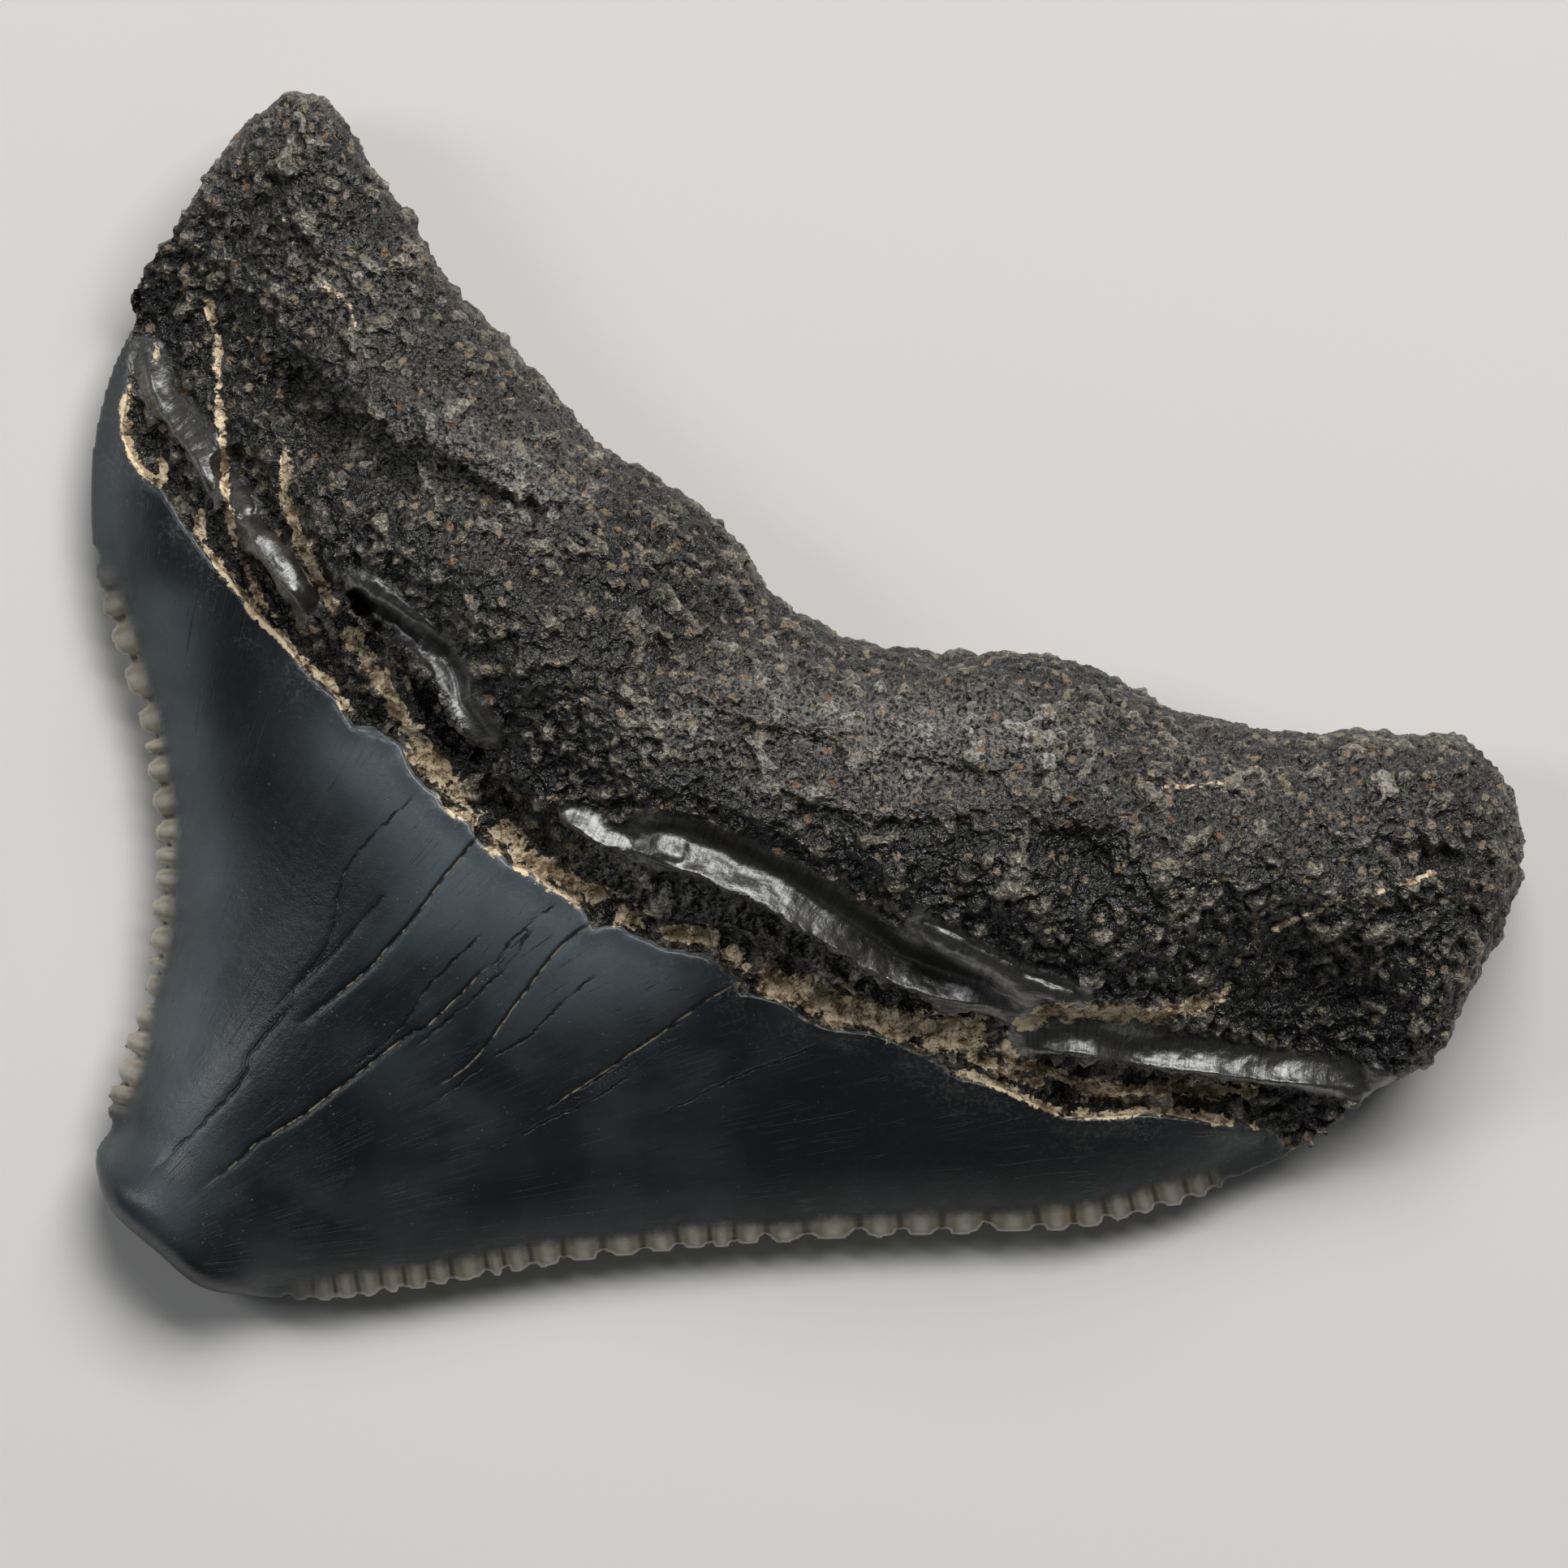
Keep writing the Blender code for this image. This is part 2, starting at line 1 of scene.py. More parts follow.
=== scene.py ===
# %% [markdown]
# # A fossil shark tooth, seen from its tongue side
# The real tooth is one piece that grew together: a crown of glassy enamel with serrated
# cutting edges, a black band of thin glazed ridges under it, and a rough, porous root. It has
# turned to stone, so all three are dark, and pale clay still sits in the cracks. It lies on
# its flatter face, and the camera looks straight down on the fuller one.
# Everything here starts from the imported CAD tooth, which already has the outline, the
# thickness, the serrations and the main ridges at the right size.

import bmesh
import bpy
import numpy as np
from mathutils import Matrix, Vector, kdtree, noise


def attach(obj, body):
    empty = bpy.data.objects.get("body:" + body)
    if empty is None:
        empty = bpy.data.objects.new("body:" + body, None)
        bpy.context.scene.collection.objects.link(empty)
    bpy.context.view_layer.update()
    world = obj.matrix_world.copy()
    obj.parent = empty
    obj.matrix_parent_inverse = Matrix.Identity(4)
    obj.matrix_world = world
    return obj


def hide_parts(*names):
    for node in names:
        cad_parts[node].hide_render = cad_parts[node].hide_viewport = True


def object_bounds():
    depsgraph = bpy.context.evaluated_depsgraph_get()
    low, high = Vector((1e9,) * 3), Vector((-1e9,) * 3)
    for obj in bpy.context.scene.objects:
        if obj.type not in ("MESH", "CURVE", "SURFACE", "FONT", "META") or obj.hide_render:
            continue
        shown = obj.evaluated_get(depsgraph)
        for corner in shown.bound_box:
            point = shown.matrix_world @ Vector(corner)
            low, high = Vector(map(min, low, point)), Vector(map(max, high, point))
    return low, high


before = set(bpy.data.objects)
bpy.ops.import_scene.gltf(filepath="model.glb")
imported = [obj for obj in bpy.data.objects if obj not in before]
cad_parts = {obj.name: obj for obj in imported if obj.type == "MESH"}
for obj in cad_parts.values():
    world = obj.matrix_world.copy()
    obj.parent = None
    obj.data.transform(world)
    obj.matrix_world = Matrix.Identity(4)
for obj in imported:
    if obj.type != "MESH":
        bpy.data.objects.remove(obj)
cad_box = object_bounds()
print("CAD box in mm:", [round(v * 1000, 1) for corner in cad_box for v in corner])

# %% [markdown]
# ## A fine skin over the CAD tooth
# The CAD tooth has under seven thousand triangles, each about a millimetre wide, and the
# cracks and pits of the real one are a tenth of that. Sculpting needs a dense, even mesh.
# Subdividing would keep the long thin triangles along the edges. A voxel remesh gives even
# faces everywhere, so a copy of the tooth is merged, remeshed and then smoothed. Sizes of
# cracks and noise are easier to read in millimetres, so the copy is a thousand times larger
# while it is worked on: one unit is one millimetre.

# %% Selecting and applying
def only(piece):
    """Selects one piece and nothing else."""
    bpy.ops.object.select_all(action="DESELECT")
    piece.select_set(True)
    bpy.context.view_layer.objects.active = piece


def apply_modifier(piece, kind, **settings):
    """Adds a modifier with these settings and applies it."""
    modifier = piece.modifiers.new(kind.lower(), kind)
    for name, value in settings.items():
        setattr(modifier, name, value)
    bpy.ops.object.modifier_apply(modifier=modifier.name)


def places(piece):
    """The piece's vertices as an array, one row each."""
    found = np.empty(len(piece.data.vertices) * 3, np.float32)
    piece.data.vertices.foreach_get("co", found)
    return found.reshape(-1, 3).astype(float)


def normals(piece):
    found = np.empty(len(piece.data.vertices) * 3, np.float32)
    piece.data.vertices.foreach_get("normal", found)
    return found.reshape(-1, 3).astype(float)


def move_to(piece, where):
    piece.data.vertices.foreach_set("co", where.astype(np.float32).ravel())
    piece.data.update()


# %% Copy, merge and remesh
VOXEL = 0.122

only(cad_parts["tooth"])
bpy.ops.object.duplicate()
tooth = bpy.context.active_object
tooth.name = tooth.data.name = "tooth_skin"
tooth.parent = None
for label in [key for key in tooth.keys() if key.startswith("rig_")]:
    del tooth[label]
only(tooth)
bpy.ops.object.mode_set(mode="EDIT")
bpy.ops.mesh.select_all(action="SELECT")
bpy.ops.mesh.remove_doubles(threshold=1e-6)
bpy.ops.transform.resize(value=(1000, 1000, 1000), center_override=(0, 0, 0))
bpy.ops.object.mode_set(mode="OBJECT")
apply_modifier(tooth, "REMESH", mode="VOXEL", voxel_size=VOXEL, use_smooth_shade=True)
print("remeshed skin:", len(tooth.data.polygons), "faces")

# %% [markdown]
# ## Lines to measure from
# Nearly every feature of this tooth follows a line: the cutting edges, the ragged edge of
# the enamel, the glazed ridges, the cracks. The lines below were measured from the
# photograph, in millimetres. Two helpers turn a line into something to sculpt with: a smooth
# path, and each vertex's distance to it, with a sign for the side.

# %% Paths and distances
FINE_STEP = 0.12


def smooth_path(points, step=0.25):
    """A smooth curve through the points, as points about one step apart."""
    p = np.array(points, float)
    p = np.vstack([2 * p[0] - p[1], p, 2 * p[-1] - p[-2]])
    dense = []
    for a, b, c, d in zip(p, p[1:], p[2:], p[3:]):
        for t in np.arange(0, 1, 0.125):
            dense.append(0.5 * (2 * b + (c - a) * t + (2 * a - 5 * b + 4 * c - d) * t**2
                                + (3 * b - a - 3 * c + d) * t**3))
    dense = np.array(dense + [p[-2]])
    length = np.append(0, np.cumsum(np.hypot(*np.diff(dense, axis=0).T)))
    at = np.linspace(0, length[-1], max(2, round(length[-1] / step) + 1))
    return np.column_stack([np.interp(at, length, dense[:, i]) for i in (0, 1)])


def measure(xy, path, reach=60.0):
    """Each point's distance to a path (+ on its left), and its place along it from 0 to 1.

    Points further than reach from the path's own box are left at that distance.
    """
    gap, place = np.full(len(xy), reach), np.zeros(len(xy))
    low, high = path.min(0) - reach, path.max(0) + reach
    near = np.nonzero(((xy > low) & (xy < high)).all(1))[0]
    tree = kdtree.KDTree(len(path))
    for i, (x, y) in enumerate(path):
        tree.insert((x, y, 0), i)
    tree.balance()
    closest = np.array([tree.find((x, y, 0))[1] for x, y in xy[near]], int)
    found = np.full((2, len(near)), 1e9)
    for turn, first in enumerate((closest - 1, closest)):
        first = np.clip(first, 0, len(path) - 2)
        start, along = path[first], path[first + 1] - path[first]
        away = xy[near] - start
        t = np.clip((away * along).sum(1) / (along**2).sum(1), 0, 1)
        away -= t[:, None] * along
        side = np.where(along[:, 0] * away[:, 1] - along[:, 1] * away[:, 0] < 0, -1, 1)
        found[turn] = np.hypot(*away.T)
        better = found[turn] < found[0] if turn else np.full(len(near), True)
        gap[near[better]] = (found[turn] * side)[better]
        place[near[better]] = ((first + t) / (len(path) - 1))[better]
    return gap, place


def rise(low, high, value):
    """0 below low, 1 above high and a smooth ramp between."""
    t = np.clip((value - low) / (high - low), 0, 1)
    return t * t * (3 - 2 * t)


def bell(gap, width):
    return np.exp(-(gap / width) ** 2)


def lumps(spots, size, seed):
    """Smooth uneven noise between about -1 and 1, one value for each spot."""
    return np.array([noise.noise(Vector((x / size, y / size, z / size + seed))) for x, y, z in spots])


# %% The cutting edges and the enamel's border
LOWER_EDGE = [(14.34, -13.58), (13.26, -13.94), (12.72, -14.3), (12, -14.56), (11.14, -14.78),
    (10.12, -15.08), (9.31, -15.3), (8.34, -15.51), (7.19, -15.61), (6.1, -15.8), (4.76, -15.78),
    (3.36, -15.8), (2.26, -15.89), (0.74, -15.94), (-0.62, -16.13), (-1.69, -16.13), (-3.26, -16.18),
    (-4.16, -16.35), (-5.4, -16.49), (-6.62, -16.58), (-7.64, -16.68), (-8.31, -16.82), (-9.71, -17.08),
    (-10.57, -17.23), (-11.52, -17.35), (-12.74, -17.49), (-13.97, -17.68), (-15.19, -17.73)]
UPPER_EDGE = [(-20.62, -12.28), (-20.38, -11.2), (-20.16, -10.73), (-19.97, -9.92), (-19.86, -8.94),
    (-19.57, -7.92), (-19.36, -7.04), (-19.28, -6.11), (-19.19, -4.56), (-19.14, -3.89), (-19.28, -2.99),
    (-19.43, -2.13), (-19.57, -1.08), (-19.81, -0.25), (-20.02, 0.46), (-20.21, 1.15), (-20.43, 1.89),
    (-20.69, 2.58), (-20.78, 3.01), (-20.9, 3.51), (-21, 4.03), (-21.09, 4.75), (-21.19, 5.42),
    (-21.16, 6.2), (-21.09, 7.13), (-21, 7.61), (-20.86, 8.25), (-20.62, 9.01), (-20.33, 9.68),
    (-20.07, 10.27), (-19.83, 10.89)]
BROKEN_TIP = [(-15.19, -17.73), (-16.43, -17.63), (-17.52, -17.61), (-18, -17.39), (-18.78, -16.63),
    (-19.71, -15.89), (-20.19, -15.49), (-20.62, -14.94), (-20.86, -14.51), (-20.97, -14.01),
    (-20.9, -13.42), (-20.74, -12.94), (-20.62, -12.28)]
ENAMEL_LINE = [(-19.83, 10.89), (-19.97, 8.87), (-20.02, 8.56), (-20.09, 8.08), (-20.02, 7.61),
    (-19.86, 7.22), (-19.62, 6.84), (-19.31, 6.42), (-18.97, 6.18), (-18.55, 5.58), (-18.19, 4.99),
    (-17.88, 4.63), (-17.71, 4.34), (-17.28, 3.84), (-17, 3.63), (-16.59, 3.06), (-16.09, 2.44),
    (-15.31, 1.7), (-14.76, 0.89), (-14.43, 0.56), (-14.12, 0.27), (-13.78, 0.06), (-13.59, -0.28),
    (-13.4, -0.68), (-13.26, -0.87), (-13, -0.82), (-12.66, -0.87), (-12.33, -1.11), (-12.05, -1.25),
    (-11.76, -1.47), (-11.69, -1.82), (-11.5, -2.18), (-11.24, -2.51), (-10.93, -2.75), (-10.71, -2.82),
    (-10.69, -3.11), (-10.43, -3.3), (-10.14, -3.49), (-9.81, -3.68), (-9.76, -3.92), (-9.47, -4.3),
    (-9.19, -4.39), (-8.86, -4.63), (-8.62, -4.92), (-8.28, -4.99), (-7.95, -5.16), (-7.62, -5.44),
    (-7.26, -5.68), (-6.93, -5.82), (-6.64, -5.99), (-6.52, -6.23), (-6.43, -6.39), (-6.26, -6.8),
    (-5.86, -6.68), (-5.45, -6.68), (-5.24, -6.85), (-4.9, -6.97), (-4.5, -7.13), (-4.12, -7.35),
    (-3.76, -7.37), (-3.38, -7.49), (-2.95, -7.51), (-2.78, -7.68), (-2.4, -7.92), (-2.09, -8.16),
    (-1.97, -8.66), (-1.66, -8.66), (-1.19, -8.78), (-0.69, -8.89), (-0.4, -9.08), (-0.14, -9.32),
    (0.22, -9.51), (0.64, -9.68), (1.38, -9.75), (1.98, -9.8), (2.48, -9.99), (2.95, -10.23),
    (3.45, -10.49), (3.95, -10.73), (4.29, -11.11), (4.84, -11.25), (5.45, -11.35), (5.95, -11.54),
    (6.5, -11.82), (7.05, -12.04), (7.41, -12.23), (7.76, -12.3), (8.62, -12.3), (9.24, -12.25),
    (9.86, -12.2), (10.45, -12.25), (11.07, -12.3), (11.57, -12.37), (12.05, -12.51), (12.95, -12.56),
    (13.57, -12.68), (13.88, -12.89), (14, -13.2), (14.34, -13.58)]
LIP_ENAMEL_LINE = [(-19.82, 10.98), (-18.2, 8.1), (-15.8, 5.2), (-12.9, 2.7), (-10.3, 1.2), (-7.5, -0.7),
    (-4.6, -2.7), (-1.7, -4.5), (1.6, -6.2), (4.9, -7.9), (8, -9.6), (10.9, -11.5), (13, -12.7),
    (14.33, -13.59)]
# Notches between the serrations: x along the lower edge, y along the upper edge
LOWER_NOTCHES = [12.41, 12, 11.24, 10.34, 9.64, 8.86, 7.86, 6.88, 5.29, 3.98, 2.79, 1.57, 0.03, -1.19, -2.12,
    -2.83, -3.71, -4.76, -5.97, -7.12, -8.02, -8.83, -9.31, -10.38, -11.07, -11.78, -12.45, -13.14, -13.81,
    -14.5, -15.19]
UPPER_NOTCHES = [-12.44, -11.87, -11.25, -10.42, -9.73, -8.8, -7.94, -7.49, -6.61, -5.7, -4.94, -4.28, -3.58,
    -2.63, -1.68, -1.23, -0.25, 1.03, 2.18, 3.13, 4.03]

# Long cracks that start at the enamel's border
CROWN_CRACKS = [
    [(-9.33, -3.8), (-10.47, -5.11), (-11.28, -6.2), (-12.24, -7.3), (-13.09, -8.18), (-14.86, -9.58)],
    [(-9.14, -7.68), (-11.05, -9.58), (-11.64, -9.87), (-13.4, -11.2), (-14.86, -12.3), (-16.05, -13.01),
        (-16.62, -13.54), (-18.09, -14.7)],
    [(-6.14, -6.49), (-7.24, -7.37), (-8.4, -8.85), (-9.74, -10.61), (-11.19, -11.63)],
    [(-2.09, -8.39), (-3.12, -8.99), (-4.31, -9.87), (-6.07, -11.04), (-8.26, -12.51)],
]

# Two long cracks across the root and the band, which hold clay
CLAY_CRACK_1 = [(-17.9, 12.13), (-17.55, 11.53), (-17.43, 10.94), (-17.28, 10.34), (-17.28, 9.03),
    (-17.24, 8.32), (-17.12, 7.49), (-17.05, 6.18), (-16.9, 5.22), (-16.76, 4.49), (-16.45, 3.8),
    (-16.09, 3.03), (-15.36, 2.03)]
CLAY_CRACK_2 = [(-15.38, 7.42), (-15.28, 6.77), (-15.33, 6.13), (-15.09, 5.32), (-14.81, 4.49),
    (-14.45, 3.77), (-14.09, 3.03)]

# Fine dark lines in the enamel beside the cracks
DARK_LINES = [
    [(-11.38, -2.78), (-13.38, -4.87), (-14.05, -7.25), (-15.76, -9.35)],
    [(-9.47, -6.87), (-11, -8.39), (-12.14, -9.92), (-13.66, -11.06)],
    [(-7.95, -6.68), (-8.9, -8.01), (-10.62, -9.54), (-11.76, -10.49)],
    [(-15, -8.97), (-16.33, -10.49), (-16.71, -11.44), (-19.38, -14.11)],
    [(-6.05, -8.01), (-7.19, -8.97), (-8.14, -9.92), (-9.09, -10.49), (-10.62, -11.63), (-11.76, -12.39)],
    [(-4.14, -10.3), (-6.05, -11.63), (-7.57, -12.39), (-9.86, -13.54)],
    [(-3.38, -9.35), (-4.52, -9.92), (-6.24, -11.25), (-7.24, -11.68)],
    [(-12.33, -5.73), (-13.66, -7.25), (-15, -8.58)],
    [(0.38, -10.13), (-2.24, -11.2), (-4.62, -12.39)],
    [(-7.24, -5.97), (-8.43, -6.92), (-9.38, -8.11)],
]

lower_edge, upper_edge = smooth_path(LOWER_EDGE), smooth_path(UPPER_EDGE)
broken_tip, enamel_line = smooth_path(BROKEN_TIP), smooth_path(ENAMEL_LINE, FINE_STEP)
lip_enamel_line = smooth_path(LIP_ENAMEL_LINE)


def bead_count(path, place, notches, axis):
    """How many notches lie before each place along a cutting edge, with fractions between."""
    along = np.linspace(0, 1, len(path))
    order = np.argsort(path[:, axis])
    at = np.interp(notches, path[order, axis], along[order])
    at, steps = np.sort(at), np.arange(len(at), dtype=float)
    return np.interp(place, at, steps, left=0, right=steps[-1])


def survey(piece, up=None):
    """Everything that the sculpting and the colours measure from, for a piece's vertices.

    up is how far each vertex faces upwards. It is kept from before the sculpting.
    """
    co, up = places(piece), normals(piece)[:, 2] if up is None else up
    xy = co[:, :2]
    field = {"co": co, "up": up, "top": rise(-0.15, 0.15, up)}
    lower, lower_at = measure(xy, lower_edge)
    upper, upper_at = measure(xy, upper_edge)
    lower, upper = abs(lower), abs(upper)
    field["edge"] = np.minimum(lower, upper)
    field["tip"] = abs(measure(xy, broken_tip)[0])
    lower_beads = bead_count(lower_edge, lower_at, LOWER_NOTCHES, 0)
    upper_beads = bead_count(upper_edge, upper_at, UPPER_NOTCHES, 1)
    field["bead"] = np.where(lower < upper, lower_beads, upper_beads)
    count = np.where(lower < upper, len(LOWER_NOTCHES), len(UPPER_NOTCHES))
    worn = np.minimum(field["bead"], count - 1 - field["bead"])
    field["bead_depth"] = rise(0, 2.5, worn) * 0.9 + 0.1 * rise(0, 0.4, worn)
    over, _ = measure(xy, enamel_line)
    under, _ = measure(xy, lip_enamel_line)
    field["enamel"] = np.where(up > 0, -over, -under)
    return field


field = survey(tooth)
print("vertices on enamel:", (field["enamel"] > 0).mean().round(2))

# %% [markdown]
# ## Smooth where the tooth is smooth
# The copy still shows the flat faces of the CAD mesh. A Smooth modifier takes them out, but
# it would take the serrations too, so it works through a vertex group: all of its strength
# on the middle of the crown, half on the root, and almost none next to the cutting edges.

# %% Vertex groups from numbers
def group_from(piece, name, weights):
    """A vertex group with a weight for every vertex, in steps of a tenth."""
    group = piece.vertex_groups.new(name=name)
    level = np.round(np.clip(weights, 0, 1) * 10).astype(int)
    for step in range(1, 11):
        group.add(np.nonzero(level == step)[0].tolist(), step / 10, "REPLACE")


crown = rise(0.1, 0.6, field["enamel"]) * rise(0.9, 2.2, field["edge"])
group_from(tooth, "crown", crown)
inland = rise(0.2, 1.6, field["edge"]) * rise(0, 1, field["tip"])
group_from(tooth, "everywhere", np.maximum(crown, 0.06 + 0.54 * inland))
apply_modifier(tooth, "SMOOTH", iterations=30, factor=0.5, vertex_group="everywhere")
apply_modifier(tooth, "SMOOTH", iterations=160, factor=0.5, vertex_group="crown")

# %% [markdown]
# ## Spend the triangles where the detail is
# Even faces of an eighth of a millimetre all over make 400,000 triangles, and a piece may
# have half of that. The root's upper face, the dark band and the serrations need them, and
# the smooth crown and the face that lies on the table don't. Decimate leaves every edge
# alone whose ends have no weight in its vertex group, so the group covers only what may be
# thinned.

# %% Thin the smooth parts
def thin(piece, name, weights, wanted):
    """Decimates where the weights aren't 0, down to about the wanted number of triangles there."""
    mesh = piece.data
    corners = np.empty(len(mesh.loops), np.int32)
    mesh.loops.foreach_get("vertex_index", corners)
    starts = np.empty(len(mesh.polygons), np.int32)
    mesh.polygons.foreach_get("loop_start", starts)
    sizes = np.diff(np.append(starts, len(corners)))
    solid = np.minimum.reduceat(weights[corners] < 0.05, starts) & (sizes > 0)
    kept, before = ((sizes - 2) * solid).sum(), (sizes - 2).sum()
    group_from(piece, name, weights)
    apply_modifier(piece, "DECIMATE", ratio=min(1, (kept + wanted) / before), vertex_group=name)
    print(name + ":", before, "->", sum(len(f.vertices) - 2 for f in piece.data.polygons), "triangles")


def crack_gap(field):
    found = np.full(len(field["co"]), 1.0)
    for points in CROWN_CRACKS + DARK_LINES:
        found = np.minimum(found, abs(measure(field["co"][:, :2], smooth_path(points), 1.0)[0]))
    return found


TABLE_SIDE_TRIANGLES = 26000
OPEN_CROWN_TRIANGLES = 40000

facing_down = rise(-0.2, -0.45, field["up"])
thin(tooth, "table side", facing_down * rise(1.0, 1.6, field["edge"]), TABLE_SIDE_TRIANGLES)
field = survey(tooth)
open_crown = rise(0.3, 1.0, field["enamel"]) * rise(1.1, 1.8, field["edge"]) * rise(0.4, 1.2, field["tip"])
open_crown = open_crown * rise(0.1, 0.3, crack_gap(field)) * rise(-0.2, 0, field["up"])
thin(tooth, "open crown", open_crown, OPEN_CROWN_TRIANGLES)
field = survey(tooth)

# %% [markdown]
# ## Sculpting by strokes
# Under the crown lies the band that fossil hunters call the bourlette: thin glazed ridges
# that curl up like the edge of a peeling varnish, with deep black gaps between them. By hand
# this is a job for the sculpting brushes. Here each stroke is a path with widths and heights,
# so it can be measured, repeated and changed. A lip works like the Flatten brush: behind its
# path it lays a facet that leans back towards the root and catches the light, and in front it
# leaves a cliff. Hollows are then cut along the foot of the cliffs.

# %% Lips
# Points, how far the crest is raised, how wide the gutter behind it is, how steeply it falls
# into the gutter, and how wide the cliff in front is
LIPS = {
    "outer ridge": ([(-19.47, 10.22), (-19.31, 9.7), (-19.05, 8.8), (-18.57, 7.99), (-18, 7.22),
        (-17.62, 6.56), (-17.33, 5.89)], 0.6, 1.1, 0.5, 0.3),
    "ground behind the sausage": ([(-17.43, 7.13), (-17, 6.18), (-16.52, 5.22), (-15.95, 4.27),
        (-15.43, 3.51), (-14.81, 2.7), (-14.14, 1.89)], 0.15, 1.7, 0.1, 0.1),
    "upper lip": ([(-13.43, 3.13), (-13.09, 2.46), (-12.55, 2.03), (-12, 1.68), (-11.36, 1.3),
        (-10.9, 0.84), (-10.71, 0.49), (-10.52, -0.35), (-10.07, -0.89), (-9.62, -1.25), (-9.19, -1.35)],
        0.36, 0.85, 0.46, 0.12),
    "middle lip": ([(-7.24, -3.25), (-6.86, -3.68), (-6.57, -3.89), (-5.93, -4.35), (-4.9, -4.58)], 0.45,
        0.85, 0.5, 0.12),
    "long lip": ([(-5.45, -4.3), (-3.83, -4.97), (-3.19, -5.16), (-2.28, -5.61), (-1.36, -6.01),
        (-0.43, -6.58), (0.5, -7.13), (1.41, -7.68), (2.31, -8.23), (3.24, -8.58), (4.14, -8.82),
        (6.1, -9.11)], 0.75, 1.5, 0.6, 0.12),
    "shelf": ([(-7.74, -3.92), (-7.28, -4.47), (-6.93, -5.11), (-5.93, -5.56), (-5.19, -6.11),
        (-4.55, -6.47), (-3.19, -6.56), (-1.83, -6.85), (-0.9, -7.2), (0.62, -8.11), (1.57, -8.7),
        (3.24, -9.3), (4.43, -9.42)], 0.26, 0.75, 0.15, 0.1),
    "lens": ([(6.1, -10.25), (7.05, -10.3), (8, -10.39), (9.19, -10.63), (10.86, -10.87), (12.05, -11.01),
        (13.48, -11.2), (14.91, -11.35), (16.57, -11.56)], 0.95, 1.6, 0.62, 0.4),
    "rim under the lens": ([(5.79, -10.58), (6.41, -10.87), (7.34, -11.04), (8.24, -11.42),
        (9.14, -11.51), (10.53, -11.51), (12.05, -11.58), (13.48, -11.68)], 0.1, 0.3, 0.2, 0.1),
    "outer rim": ([(2.86, -10.23), (4.14, -10.87), (5.5, -11.32), (6.41, -11.68), (7.6, -12.13),
        (9.14, -12.23), (10.53, -12.13), (12.05, -12.42)], 0.1, 0.3, 0.2, 0.1),
}
# Round swellings: points, height, half width and lean
SWELLINGS = {
    "sausage": ([(-16.52, 5.22), (-15.86, 4.46), (-15.5, 3.99), (-15.14, 3.46), (-14.52, 2.56)], 0.75,
        0.55, 0.3),
    "outer patch": ([(-17.09, 6.65), (-16.76, 6.03), (-16.38, 5.22)], 0.35, 0.4, 0.1),
    "upper shoulder": ([(-13.47, 3.8), (-12.81, 3.22), (-12.09, 2.7), (-11.28, 2.01), (-10.69, 1.3)],
        0.28, 0.36, 0.1),
    "oval": ([(-4.55, -4.2), (-4.02, -4.35), (-3.47, -4.49)], 0.16, 0.4, 0.1),
    "second shoulder": ([(3.24, -6.68), (3.95, -7.16), (4.6, -7.54), (5.5, -8.01), (6.41, -8.54),
        (8, -8.92)], 0.4, 0.4, 0.25),
    "valley's ridge": ([(-14.86, 10.22), (-13.66, 9.27), (-12.24, 8.51), (-10.33, 7.49), (-8.43, 6.53),
        (-7, 5.7)], 0.7, 0.8, 0.2),
    "bulge's crest": ([(-3.19, 0.22), (-0.81, -0.13), (2.05, -0.73), (4.91, -1.32), (7.76, -1.56)], 0.25,
        0.9, 0.2),
    "bulge's second crest": ([(-0.81, -2.39), (2.05, -2.99), (5.38, -2.99)], 0.3, 0.7, 0.2),
}
